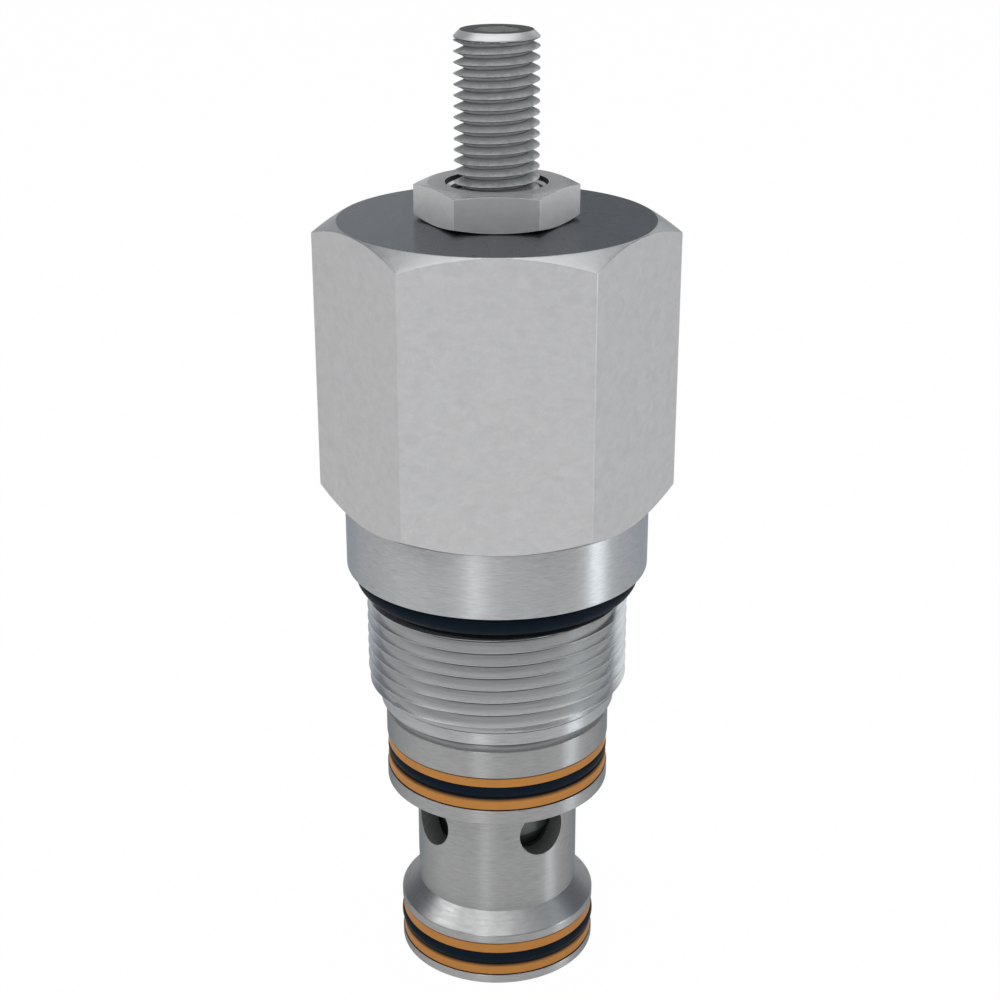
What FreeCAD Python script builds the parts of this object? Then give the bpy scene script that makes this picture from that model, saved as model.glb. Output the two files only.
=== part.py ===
# Pilot operated relief valve, a screw-in cartridge for a stepped cavity.
# Millimetres. The origin is the centre of the nose end face, and +Z runs up the valve's axis
# to the adjusting screw. The four side ports look along X and Y. The valve is drawn closed.

import FreeCAD
import Part
import Sketcher

import math
import os
from types import SimpleNamespace

# Driving dimensions, in millimetres and degrees.
SIZES = {
    # Hexagon, collar and cavity thread of the hex body
    "body_flats": 38.1,
    "hexagon_height": 35.28,
    "hexagon_turn": 55.4,
    "hexagon_face_step": 0.11,
    "chamfer_angle": 30.0,
    "collar_step": 0.164,
    "collar_height": 8.18,
    "collar_edge": 0.2,
    "collar_groove_width": 3.32,
    "collar_groove_depth": 1.63,
    "thread_radius": 16.5,
    "thread_length": 13.8,
    "thread_end_edge": 0.5,
    "band_step": 1.5,
    "band_height": 1.63,
    "band_edge": 0.2,
    # Bores of the hex body
    "screw_radius": 5.0,
    "thread_clearance": 0.05,
    "screw_bore_mouth": 0.6,
    "top_wall": 12.68,
    "piston_bore_radius": 7.0,
    "chamber_step": 0.6,
    "chamber_height": 8.6,
    "seat_rim_inset": 2.0,
    "seat_rim_clearance": 0.05,
    "seat_rim_step": 0.8,
    "relief_height": 1.2,
    "relief_depth": 0.45,
    "drain_radius": 0.6,
    "drain_turn": 144.0,
    "cross_drain_radius": 0.8,
    "cross_drain_level": 3.2,
    # Cage, from its nose up
    "inlet_radius": 6.0,
    "inlet_edge": 1.0,
    "seat_drop": 4.35,
    "cage_bore_radius": 8.0,
    "nose_radius": 12.78,
    "nose_edge": 0.25,
    "nose_rim": 1.39,
    "nose_groove_width": 4.88,
    "nose_groove_depth": 2.33,
    "nose_shoulder": 1.0,
    "waist_radius": 10.48,
    "waist_length": 15.3,
    "port_radius": 3.4,
    "port_drop": 4.52,
    "port_count": 4,
    "land_radius": 14.36,
    "land_edge": 0.25,
    "land_rim": 1.92,
    "land_groove_width": 4.87,
    "land_groove_depth": 2.51,
    "land_shoulder": 3.45,
    "neck_step": 0.96,
    "neck_height": 1.36,
    "neck_lead": 0.64,
    "spigot_radius": 12.3,
    "spigot_clearance": 0.05,
    "spigot_height": 4.5,
    "spigot_groove_start": 1.0,
    "spigot_groove_width": 2.4,
    "spigot_groove_depth": 1.55,
    "cage_thread_step": 0.3,
    "cage_thread_length": 6.03,
    "cage_edge": 0.6,
    # Seal packs of the cage and the other seals
    "seal_section": 2.4,
    "seal_gap": 1.45,
    "upper_ring_height": 1.48,
    "ring_clearance": 0.02,
    "ring_recess": 0.12,
    "ring_round": 0.6,
    "collar_seal_section": 2.95,
    "seal_clearance": 0.04,
    "piston_ring_height": 1.2,
    # Main poppet and what it carries
    "poppet_clearance": 0.05,
    "seat_gap": 0.03,
    "poppet_cone_angle": 30.0,
    "poppet_tip_drop": 1.1,
    "poppet_relief_step": 0.35,
    "poppet_relief_top": 5.2,
    "poppet_edge": 0.3,
    "poppet_lift": 4.0,
    "poppet_wall": 2.35,
    "poppet_floor": 10.1,
    "balance_groove_depth": 0.3,
    "balance_groove_width": 0.6,
    "balance_groove_start": 15.0,
    "balance_groove_step": 4.0,
    "balance_groove_count": 3,
    "nose_pocket_radius": 3.6,
    "nose_pocket_depth": 4.1,
    "plug_radius": 2.5,
    "plug_clearance": 0.05,
    "plug_height": 4.6,
    "plug_socket_flats": 2.5,
    "plug_socket_depth": 2.0,
    "orifice_radius": 0.5,
    "screen_thickness": 0.5,
    "screen_hole_radius": 0.4,
    "screen_hole_circle": 1.9,
    "screen_hole_count": 6,
    "screen_ring_height": 0.8,
    "screen_ring_depth": 0.3,
    "screen_ring_width": 1.1,
    "screen_ring_gap": 2.0,
    # Main spring
    "main_wire": 1.3,
    "main_coil_clearance": 0.2,
    "main_turns": 7.0,
    # Pilot seat, pilot poppet, setting spring and shim
    "seat_height": 6.0,
    "seat_hub_clearance": 0.3,
    "seat_hub_height": 3.0,
    "seat_nozzle_radius": 3.4,
    "seat_nozzle_height": 2.0,
    "seat_drill_radius": 2.4,
    "seat_hole_radius": 1.25,
    "seat_hole_length": 4.0,
    "seat_groove_start": 2.1,
    "seat_groove_width": 1.9,
    "seat_groove_depth": 1.42,
    "seat_edge": 0.4,
    "pilot_cone_angle": 20.0,
    "pilot_tip_radius": 0.4,
    "pilot_cone_radius": 3.0,
    "pilot_flange_step": 0.15,
    "pilot_flange_height": 1.5,
    "pilot_guide_clearance": 0.25,
    "pilot_guide_height": 2.5,
    "pilot_stem_radius": 2.0,
    "pilot_stem_height": 2.2,
    "pilot_edge": 0.4,
    "pilot_wire": 1.4,
    "pilot_coil_clearance": 0.85,
    "pilot_turns": 5.5,
    "shim_clearance": 0.3,
    "shim_bore_radius": 2.6,
    "shim_thickness": 0.5,
    # Adjuster piston, adjusting screw and lock nut
    "piston_clearance": 0.05,
    "piston_top_room": 3.5,
    "piston_height": 14.1,
    "piston_skirt": 1.05,
    "piston_recess_depth": 9.0,
    "piston_groove_start": 1.0,
    "piston_groove_depth": 1.75,
    "piston_edge": 0.3,
    "piston_socket_depth": 2.0,
    "tip_step": 1.5,
    "tip_clearance": 0.1,
    "tip_height": 2.5,
    "screw_length": 40.0,
    "screw_edge": 0.75,
    "screw_socket_flats": 5.0,
    "screw_socket_depth": 5.5,
    "screw_socket_turn": 11.8,
    "nut_flats": 17.0,
    "nut_height": 4.38,
    "nut_face_step": 0.35,
    "nut_chamfer_angle": 13.0,
    "nut_lower_chamfer_angle": 17.0,
    "nut_mouth": 1.12,
    "nut_lower_mouth": 0.55,
}


class Size:
    """A length or angle with its value and the expression over the sheet that gives it."""

    def __init__(self, value, text):
        self.value = value
        self.text = text

    def __add__(self, other):
        other = as_size(other)
        return Size(self.value + other.value, f"({self.text} + {other.text})")

    def __sub__(self, other):
        other = as_size(other)
        return Size(self.value - other.value, f"({self.text} - {other.text})")

    def __rsub__(self, other):
        return as_size(other) - self

    def __mul__(self, other):
        other = as_size(other)
        return Size(self.value * other.value, f"({self.text} * {other.text})")

    def __truediv__(self, other):
        other = as_size(other)
        return Size(self.value / other.value, f"({self.text} / {other.text})")


def as_size(number):
    """A plain number as a Size."""
    return number if isinstance(number, Size) else Size(number, str(number))


def tangent(angle):
    """The tangent of an angle in degrees."""
    return Size(math.tan(math.radians(angle.value)), f"tan({angle.text})")


def corner_radius(flats):
    """The radius over a hexagon's corners from its width across flats."""
    return flats / Size(math.sqrt(3.0), "sqrt(3)")


ZERO = Size(0.0, "0")

doc = FreeCAD.newDocument("relief_valve")
sheet = doc.addObject("Spreadsheet::Sheet", "Sizes")
for row, (alias, number) in enumerate(SIZES.items(), start=1):
    sheet.set(f"A{row}", alias)
    sheet.set(f"B{row}", str(number))
    sheet.setAlias(f"B{row}", alias)
doc.recompute()

size = SimpleNamespace(**{name: Size(value, f"Sizes.{name}") for name, value in SIZES.items()})

pieces = []


# Helpers for bodies, sketches and features


def new_piece(label, level=ZERO):
    """A body of its own for one sub-part, placed with its own zero at a level on the axis."""
    body = doc.addObject("PartDesign::Body", label)
    body.Label = label
    body.Placement = FreeCAD.Placement(FreeCAD.Vector(0, 0, level.value), FreeCAD.Rotation())
    body.setExpression("Placement.Base.z", level.text)
    pieces.append(body)
    return body


def origin_feature(body, role):
    """One of the body's own origin planes or axes."""
    return next(item for item in body.Origin.OriginFeatures if item.Role == role)


def new_sketch(body, name, role, level=ZERO, turn=ZERO):
    """A sketch on an origin plane, moved along the plane's normal and turned about it."""
    sketch = body.newObject("Sketcher::SketchObject", f"{body.Name}_{name}")
    sketch.AttachmentSupport = [(origin_feature(body, role), "")]
    sketch.MapMode = "FlatFace"
    turned = FreeCAD.Rotation(FreeCAD.Vector(0, 0, 1), turn.value)
    sketch.AttachmentOffset = FreeCAD.Placement(FreeCAD.Vector(0, 0, level.value), turned)
    sketch.setExpression("AttachmentOffset.Base.z", level.text)
    if turn is not ZERO:
        sketch.setExpression("AttachmentOffset.Rotation.Angle", turn.text)
    return sketch


def bind(sketch, constraint, amount):
    """Adds a dimension to a sketch and ties it to its expression."""
    index = sketch.addConstraint(constraint)
    sketch.setExpression(f"Constraints[{index}]", amount.text)


def pin_point(sketch, geometry, point, across, up):
    """Fixes a sketch point by its two distances from the sketch's origin."""
    if across.value == 0:
        sketch.addConstraint(Sketcher.Constraint("PointOnObject", geometry, point, -2))
    else:
        bind(sketch, Sketcher.Constraint("DistanceX", -1, 1, geometry, point, across.value), across)
    if up.value == 0:
        sketch.addConstraint(Sketcher.Constraint("PointOnObject", geometry, point, -1))
    else:
        bind(sketch, Sketcher.Constraint("DistanceY", -1, 1, geometry, point, up.value), up)


def outline_sketch(body, name, outline):
    """A closed outline of straight lines in the half plane of the axis, from (radius, height) pairs."""
    sketch = new_sketch(body, name, "XZ_Plane")
    corners = [FreeCAD.Vector(radius.value, height.value, 0) for radius, height in outline]
    lines = [Part.LineSegment(a, b) for a, b in zip(corners, corners[1:] + corners[:1])]
    sketch.addGeometry(lines, False)
    for index in range(len(lines)):
        following = (index + 1) % len(lines)
        sketch.addConstraint(Sketcher.Constraint("Coincident", index, 2, following, 1))
    for index, (radius, height) in enumerate(outline):
        pin_point(sketch, index, 1, radius, height)
    return sketch


def circle_sketch(body, name, role, radius, across, up, level=ZERO, turn=ZERO):
    """A sketch that holds one circle."""
    sketch = new_sketch(body, name, role, level, turn)
    centre = FreeCAD.Vector(across.value, up.value, 0)
    sketch.addGeometry(Part.Circle(centre, FreeCAD.Vector(0, 0, 1), radius.value), False)
    pin_point(sketch, 0, 3, across, up)
    bind(sketch, Sketcher.Constraint("Radius", 0, radius.value), radius)
    return sketch


def hexagon_sketch(body, name, flats, level, turn, rim=None):
    """A hexagon square to the axis, inside a round rim where one is given."""
    sketch = new_sketch(body, name, "XY_Plane", level, turn)
    radius = corner_radius(flats)
    steps = [math.radians(60 * index) for index in range(6)]
    corners = [FreeCAD.Vector(radius.value * math.cos(a), radius.value * math.sin(a), 0) for a in steps]
    sides = [Part.LineSegment(a, b) for a, b in zip(corners, corners[1:] + corners[:1])]
    sketch.addGeometry(sides, False)
    middle = FreeCAD.Vector(0, 0, 0)
    around = sketch.addGeometry(Part.Circle(middle, FreeCAD.Vector(0, 0, 1), radius.value), True)
    sketch.addConstraint(Sketcher.Constraint("Coincident", around, 3, -1, 1))
    bind(sketch, Sketcher.Constraint("Radius", around, radius.value), radius)
    for index in range(6):
        sketch.addConstraint(Sketcher.Constraint("Coincident", index, 2, (index + 1) % 6, 1))
        sketch.addConstraint(Sketcher.Constraint("PointOnObject", index, 1, around))
    for index in range(1, 6):
        sketch.addConstraint(Sketcher.Constraint("Equal", 0, index))
    sketch.addConstraint(Sketcher.Constraint("PointOnObject", 0, 1, -1))
    if rim is not None:
        edge = sketch.addGeometry(Part.Circle(middle, FreeCAD.Vector(0, 0, 1), rim.value), False)
        sketch.addConstraint(Sketcher.Constraint("Coincident", edge, 3, -1, 1))
        bind(sketch, Sketcher.Constraint("Radius", edge, rim.value), rim)
    return sketch


def revolve(body, name, sketch, kind="PartDesign::Revolution"):
    """Turns a sketch about the axis, to add a solid or to cut a groove."""
    feature = body.newObject(kind, f"{body.Name}_{name}")
    feature.Profile = sketch
    feature.ReferenceAxis = (sketch, ["V_Axis"])
    feature.Angle = 360.0
    sketch.Visibility = False
    doc.recompute()
    return feature


def turn_solid(body, outline):
    """The turned solid of an outline."""
    return revolve(body, "turned", outline_sketch(body, "section", outline))


def pocket(body, name, sketch, depth, upward=False):
    """Cuts a sketch against its plane's normal, or along it when upward."""
    feature = body.newObject("PartDesign::Pocket", f"{body.Name}_{name}")
    feature.Profile = sketch
    feature.Length = depth.value
    feature.setExpression("Length", depth.text)
    feature.Reversed = upward
    sketch.Visibility = False
    doc.recompute()
    return feature


def polar_pattern(body, name, feature, count):
    """Repeats a feature evenly about the axis."""
    pattern = body.newObject("PartDesign::PolarPattern", f"{body.Name}_{name}")
    pattern.Originals = [feature]
    pattern.Axis = (origin_feature(body, "Z_Axis"), [""])
    pattern.Angle = 360.0
    pattern.Occurrences = int(count.value)
    pattern.setExpression("Occurrences", count.text)
    body.Tip = pattern
    doc.recompute()
    return pattern


def round_edge(body, name, feature, edge_radius, edge_level, fillet_radius):
    """Rounds the circular edge that has the given radius and level in the body's own frame."""
    names = []
    for index, edge in enumerate(feature.Shape.Edges, start=1):
        curve = edge.Curve
        if not isinstance(curve, Part.Circle):
            continue
        same_radius = abs(curve.Radius - edge_radius.value) < 1e-4
        if same_radius and abs(curve.Center.z - edge_level.value) < 1e-4:
            names.append(f"Edge{index}")
    fillet = body.newObject("PartDesign::Fillet", f"{body.Name}_{name}")
    fillet.Base = (feature, names)
    fillet.Radius = fillet_radius.value
    fillet.setExpression("Radius", fillet_radius.text)
    doc.recompute()
    return fillet


def o_ring(label, level, groove_radius, section):
    """An O-ring that lies on the floor of its groove, centred on a level."""
    body = new_piece(label, level)
    sketch = circle_sketch(body, "section", "XZ_Plane", section / 2, groove_radius + section / 2, ZERO)
    revolve(body, "turned", sketch)
    return body


def coil_spring(label, level, height, coil_radius, wire, turns):
    """A compression spring of round wire with ground ends, standing on a level."""
    body = new_piece(label, level)
    start = wire / 4
    rise = height - wire / 2
    sketch = circle_sketch(body, "wire", "XZ_Plane", wire / 2, coil_radius, start)
    helix = body.newObject("PartDesign::AdditiveHelix", f"{label}_coil")
    helix.Profile = sketch
    helix.ReferenceAxis = (sketch, ["V_Axis"])
    helix.Mode = "height-turns-angle"
    helix.Height = rise.value
    helix.setExpression("Height", rise.text)
    helix.Turns = turns.value
    helix.setExpression("Turns", turns.text)
    sketch.Visibility = False
    doc.recompute()
    reach = coil_radius + wire
    lower = circle_sketch(body, "lower_face", "XY_Plane", reach, ZERO, ZERO)
    pocket(body, "lower_grind", lower, wire)
    upper = circle_sketch(body, "upper_face", "XY_Plane", reach, ZERO, ZERO, level=height)
    pocket(body, "upper_grind", upper, wire, upward=True)
    return body


# Levels that several pieces share, counted up the axis from the nose

nose_groove_low = size.nose_rim
nose_groove_high = nose_groove_low + size.nose_groove_width
nose_high = nose_groove_high + size.nose_shoulder
flare_high = nose_high + size.nose_radius - size.waist_radius
waist_top = flare_high + size.waist_length
port_level = waist_top - size.port_drop
seat_level = port_level - size.seat_drop
land_groove_low = waist_top + size.land_rim
land_groove_high = land_groove_low + size.land_groove_width
land_high = land_groove_high + size.land_shoulder
body_low = land_high + size.neck_height
collar_low = body_low + size.band_height + size.thread_length + size.collar_groove_width
body_high = collar_low + size.collar_height + size.hexagon_height
cage_high = body_low + size.spigot_height + size.cage_thread_length
seat_shoulder = cage_high + size.seat_height
nozzle_high = seat_shoulder + size.seat_nozzle_height
chamber_high = seat_shoulder + size.chamber_height
bore_high = body_high - size.top_wall
piston_high = bore_high - size.piston_top_room
piston_low = piston_high - size.piston_height
recess_high = piston_low + size.piston_recess_depth
screw_low = piston_high - size.piston_socket_depth
spring_room = recess_high - size.shim_thickness
poppet_low = seat_level - size.poppet_tip_drop
poppet_high = cage_high - size.poppet_lift

# Radii that several pieces share

band_radius = size.thread_radius - size.band_step
collar_groove_radius = size.thread_radius - size.collar_groove_depth
screw_bore = size.screw_radius + size.thread_clearance
tip_radius = size.screw_radius - size.tip_step
spigot_bore = size.spigot_radius + size.spigot_clearance
spigot_groove_radius = size.spigot_radius - size.spigot_groove_depth
cage_thread_radius = size.spigot_radius - size.cage_thread_step
cage_thread_bore = cage_thread_radius + size.thread_clearance
seat_rim_radius = cage_thread_radius - size.seat_rim_inset
seat_bore = seat_rim_radius + size.seat_rim_clearance
seat_groove_radius = seat_rim_radius - size.seat_groove_depth
poppet_radius = size.cage_bore_radius - size.poppet_clearance
poppet_bore_radius = poppet_radius - size.poppet_wall
main_coil_radius = poppet_bore_radius - size.main_coil_clearance - size.main_wire / 2
seat_hub_radius = main_coil_radius - size.main_wire / 2 - size.seat_hub_clearance
piston_radius = size.piston_bore_radius - size.piston_clearance
piston_recess_radius = piston_radius - size.piston_skirt
piston_groove_radius = piston_radius - size.piston_groove_depth
piston_seal_section = size.piston_bore_radius - piston_groove_radius - size.seal_clearance * 2
pilot_coil_radius = piston_recess_radius - size.pilot_coil_clearance - size.pilot_wire / 2
nose_groove_radius = size.nose_radius - size.nose_groove_depth
land_groove_radius = size.land_radius - size.land_groove_depth


def make_hex_body():
    """Wrench hexagon, collar, cavity thread and end band in one, bored from below."""
    body = new_piece("hex_body", body_low)
    thread_low = size.band_height
    thread_high = thread_low + size.thread_length
    groove_high = thread_high + size.collar_groove_width
    hexagon_low = groove_high + size.collar_height
    hexagon_high = hexagon_low + size.hexagon_height
    collar_radius = size.body_flats / 2 - size.collar_step
    face_radius = size.body_flats / 2 - size.hexagon_face_step
    rim = corner_radius(size.body_flats) + 1
    slope = (rim - face_radius) * tangent(size.chamfer_angle)
    spigot_room = size.spigot_height + size.seat_rim_clearance
    shoulder = seat_shoulder - body_low
    seat_bore_low = cage_high - body_low + size.seat_rim_step
    relief_low = seat_bore_low - size.relief_height
    chamber_top = chamber_high - body_low
    bore_top = bore_high - body_low
    chamber_radius = size.piston_bore_radius + size.chamber_step
    turned = turn_solid(
        body,
        [
            (spigot_bore + size.band_edge, ZERO),
            (band_radius - size.band_edge, ZERO),
            (band_radius, size.band_edge),
            (band_radius, thread_low),
            (size.thread_radius, thread_low + size.band_step),
            (size.thread_radius, thread_high - size.thread_end_edge),
            (size.thread_radius - size.thread_end_edge, thread_high),
            (collar_groove_radius, thread_high),
            (collar_groove_radius, groove_high),
            (collar_radius - size.collar_edge, groove_high),
            (collar_radius, groove_high + size.collar_edge),
            (collar_radius, hexagon_low),
            (face_radius, hexagon_low),
            (rim, hexagon_low + slope),
            (rim, hexagon_high - slope),
            (face_radius, hexagon_high),
            (screw_bore + size.screw_bore_mouth, hexagon_high),
            (screw_bore, hexagon_high - size.screw_bore_mouth),
            (screw_bore, bore_top),
            (size.piston_bore_radius, bore_top),
            (size.piston_bore_radius, chamber_top + size.chamber_step),
            (chamber_radius, chamber_top),
            (chamber_radius, shoulder),
            (seat_bore, shoulder),
            (seat_bore, seat_bore_low),
            (cage_thread_bore + size.relief_depth, seat_bore_low),
            (cage_thread_bore + size.relief_depth, relief_low),
            (cage_thread_bore, relief_low - size.relief_depth),
            (cage_thread_bore, spigot_room),
            (spigot_bore, spigot_room),
            (spigot_bore, size.band_edge),
        ],
    )
    before = turned.Shape.Volume
    hexagon = hexagon_sketch(body, "flats", size.body_flats, hexagon_high, size.hexagon_turn, rim + 1)
    flats = pocket(body, "flats_cut", hexagon, size.hexagon_height)
    drain_offset = (spigot_bore + band_radius) / 2
    drain = circle_sketch(
        body, "drain", "XY_Plane", size.drain_radius, drain_offset, ZERO, ZERO, size.drain_turn
    )
    drain_depth = shoulder + size.cross_drain_level
    drilled = pocket(body, "drain_hole", drain, drain_depth, upward=True)
    cross = new_sketch(body, "cross_drain", "XZ_Plane")
    cross.AttachmentSupport = [(origin_feature(body, "YZ_Plane"), "")]
    centre = FreeCAD.Vector(0, drain_depth.value, 0)
    cross.addGeometry(Part.Circle(centre, FreeCAD.Vector(0, 0, 1), size.cross_drain_radius.value), False)
    pin_point(cross, 0, 3, ZERO, drain_depth)
    bind(cross, Sketcher.Constraint("Radius", 0, size.cross_drain_radius.value), size.cross_drain_radius)
    crossed = pocket(body, "cross_drain_hole", cross, drain_offset)
    assert before > flats.Shape.Volume > drilled.Shape.Volume > crossed.Shape.Volume


def make_cage():
    """Valve cage with the inlet, the main seat, the side ports and the two seal lands."""
    body = new_piece("cage")
    groove_low = body_low + size.spigot_groove_start
    groove_high = groove_low + size.spigot_groove_width
    thread_low = body_low + size.spigot_height
    neck_radius = size.land_radius - size.neck_step
    turned = turn_solid(
        body,
        [
            (size.inlet_radius + size.inlet_edge, ZERO),
            (size.nose_radius - size.nose_edge, ZERO),
            (size.nose_radius, size.nose_edge),
            (size.nose_radius, nose_groove_low),
            (nose_groove_radius, nose_groove_low),
            (nose_groove_radius, nose_groove_high),
            (size.nose_radius, nose_groove_high),
            (size.nose_radius, nose_high),
            (size.waist_radius, flare_high),
            (size.waist_radius, waist_top),
            (size.land_radius, waist_top),
            (size.land_radius, land_groove_low),
            (land_groove_radius, land_groove_low),
            (land_groove_radius, land_groove_high),
            (size.land_radius, land_groove_high),
            (size.land_radius, land_high - size.land_edge),
            (size.land_radius - size.land_edge, land_high),
            (neck_radius + size.neck_lead, land_high),
            (neck_radius, land_high + size.neck_lead),
            (neck_radius, body_low),
            (size.spigot_radius, body_low),
            (size.spigot_radius, groove_low),
            (spigot_groove_radius, groove_low),
            (spigot_groove_radius, groove_high),
            (size.spigot_radius, groove_high),
            (size.spigot_radius, thread_low),
            (cage_thread_radius, thread_low),
            (cage_thread_radius, cage_high - size.cage_edge),
            (cage_thread_radius - size.cage_edge, cage_high),
            (size.cage_bore_radius, cage_high),
            (size.cage_bore_radius, seat_level),
            (size.inlet_radius, seat_level),
            (size.inlet_radius, size.inlet_edge),
        ],
    )
    before = turned.Shape.Volume
    port = circle_sketch(body, "port", "YZ_Plane", size.port_radius, ZERO, port_level)
    first = pocket(body, "port_hole", port, size.land_radius)
    ports = polar_pattern(body, "ports", first, size.port_count)
    assert before > first.Shape.Volume > ports.Shape.Volume


def make_seal_pack(name, groove_low, groove_radius, land_radius):
    """O-ring between two back-up rings whose inner faces are hollowed to hold it."""
    ring_radius = land_radius - size.ring_recess
    inner_radius = groove_radius + size.ring_clearance
    groove_high = groove_low + (size.nose_groove_width if name == "nose" else size.land_groove_width)
    top_low = groove_high - size.upper_ring_height
    bottom_high = top_low - size.seal_gap
    seal_level = (top_low + bottom_high) / 2
    o_ring(f"{name}_o_ring", seal_level, groove_radius, size.seal_section)
    for label, low, high in (("top", top_low, groove_high), ("bottom", groove_low, bottom_high)):
        body = new_piece(f"{name}_backup_ring_{label}", low)
        height = high - low
        ring = turn_solid(
            body,
            [(inner_radius, ZERO), (ring_radius, ZERO), (ring_radius, height), (inner_radius, height)],
        )
        if label == "bottom":
            ring = round_edge(body, "outer_round", ring, ring_radius, height, size.ring_round)
        before = ring.Shape.Volume
        hollow_radius = size.seal_section / 2 + size.ring_clearance
        hollow_centre = groove_radius + size.seal_section / 2
        hollow = new_hollow(body, hollow_radius, hollow_centre, seal_level - low)
        assert hollow.Shape.Volume < before


def new_hollow(body, radius, across, up):
    """Cuts the round hollow that holds the O-ring into a back-up ring's face."""
    sketch = new_sketch(body, "hollow", "XZ_Plane")
    centre = FreeCAD.Vector(across.value, up.value, 0)
    sketch.addGeometry(Part.Circle(centre, FreeCAD.Vector(0, 0, 1), radius.value), False)
    bind(sketch, Sketcher.Constraint("DistanceX", -1, 1, 0, 3, across.value), across)
    bind(sketch, Sketcher.Constraint("DistanceY", -1, 1, 0, 3, up.value), up)
    bind(sketch, Sketcher.Constraint("Radius", 0, radius.value), radius)
    return revolve(body, "hollow_cut", sketch, "PartDesign::Groove")


def make_main_poppet():
    """Hollow main poppet: seating cone, relief step, guide with balance grooves, spring cup."""
    body = new_piece("main_poppet", poppet_low + size.seat_gap)
    guide = poppet_radius
    relief_radius = guide - size.poppet_relief_step
    slope = tangent(size.poppet_cone_angle)
    tip = size.inlet_radius - size.poppet_tip_drop * slope
    cone_high = (relief_radius - tip) / slope
    relief_high = size.poppet_tip_drop + size.poppet_relief_top
    high = poppet_high - poppet_low
    plug_bore = size.plug_radius + size.plug_clearance
    turned = turn_solid(
        body,
        [
            (size.nose_pocket_radius, ZERO),
            (tip, ZERO),
            (relief_radius, cone_high),
            (relief_radius, relief_high),
            (guide, relief_high + size.poppet_relief_step),
            (guide, high - size.poppet_edge),
            (guide - size.poppet_edge, high),
            (poppet_bore_radius + size.poppet_edge, high),
            (poppet_bore_radius, high - size.poppet_edge),
            (poppet_bore_radius, size.poppet_floor),
            (plug_bore, size.poppet_floor),
            (plug_bore, size.nose_pocket_depth),
            (size.nose_pocket_radius, size.nose_pocket_depth),
        ],
    )
    before = turned.Shape.Volume
    ring_high = size.nose_pocket_depth - size.screen_thickness
    ring_low = ring_high - size.screen_ring_height
    ring_depth = size.nose_pocket_radius + size.screen_ring_depth
    ring_outline = [
        (size.nose_pocket_radius - size.screen_ring_depth, ring_low),
        (ring_depth, ring_low),
        (ring_depth, ring_high),
        (size.nose_pocket_radius - size.screen_ring_depth, ring_high),
    ]
    ring_groove = revolve(
        body, "ring_groove", outline_sketch(body, "ring_groove_section", ring_outline), "PartDesign::Groove"
    )
    groove_low = size.balance_groove_start
    groove_high = groove_low + size.balance_groove_width
    groove_outline = [
        (guide - size.balance_groove_depth, groove_low),
        (guide + size.balance_groove_depth, groove_low),
        (guide + size.balance_groove_depth, groove_high),
        (guide - size.balance_groove_depth, groove_high),
    ]
    groove = revolve(
        body, "balance_groove", outline_sketch(body, "balance_section", groove_outline), "PartDesign::Groove"
    )
    grooves = body.newObject("PartDesign::LinearPattern", "main_poppet_balance_grooves")
    grooves.Originals = [groove]
    grooves.Direction = (origin_feature(body, "Z_Axis"), [""])
    reach = size.balance_groove_step * (size.balance_groove_count - 1)
    grooves.Length = reach.value
    grooves.setExpression("Length", reach.text)
    grooves.Occurrences = int(size.balance_groove_count.value)
    grooves.setExpression("Occurrences", size.balance_groove_count.text)
    body.Tip = grooves
    doc.recompute()
    assert before > ring_groove.Shape.Volume > groove.Shape.Volume > grooves.Shape.Volume


def make_orifice_plug():
    """Screwed plug with the damping orifice and a hexagon socket."""
    level = poppet_low + size.seat_gap + size.nose_pocket_depth
    body = new_piece("orifice_plug", level)
    turned = turn_solid(
        body,
        [
            (size.orifice_radius, ZERO),
            (size.plug_radius, ZERO),
            (size.plug_radius, size.plug_height),
            (size.orifice_radius, size.plug_height),
        ],
    )
    socket = hexagon_sketch(body, "socket", size.plug_socket_flats, size.plug_height, size.hexagon_turn)
    cut = pocket(body, "socket_cut", socket, size.plug_socket_depth)
    assert turned.Shape.Volume > cut.Shape.Volume


def make_orifice_screen():
    """Strainer disc in front of the orifice."""
    level = poppet_low + size.seat_gap + size.nose_pocket_depth - size.screen_thickness
    body = new_piece("orifice_screen", level)
    rim = size.nose_pocket_radius - size.plug_clearance
    turned = turn_solid(
        body,
        [(ZERO, ZERO), (rim, ZERO), (rim, size.screen_thickness), (ZERO, size.screen_thickness)],
    )
    hole = circle_sketch(
        body,
        "hole",
        "XY_Plane",
        size.screen_hole_radius,
        size.screen_hole_circle,
        ZERO,
        level=size.screen_thickness,
    )
    first = pocket(body, "hole_cut", hole, size.screen_thickness * 2)
    holes = polar_pattern(body, "holes", first, size.screen_hole_count)
    assert turned.Shape.Volume > first.Shape.Volume > holes.Shape.Volume


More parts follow.
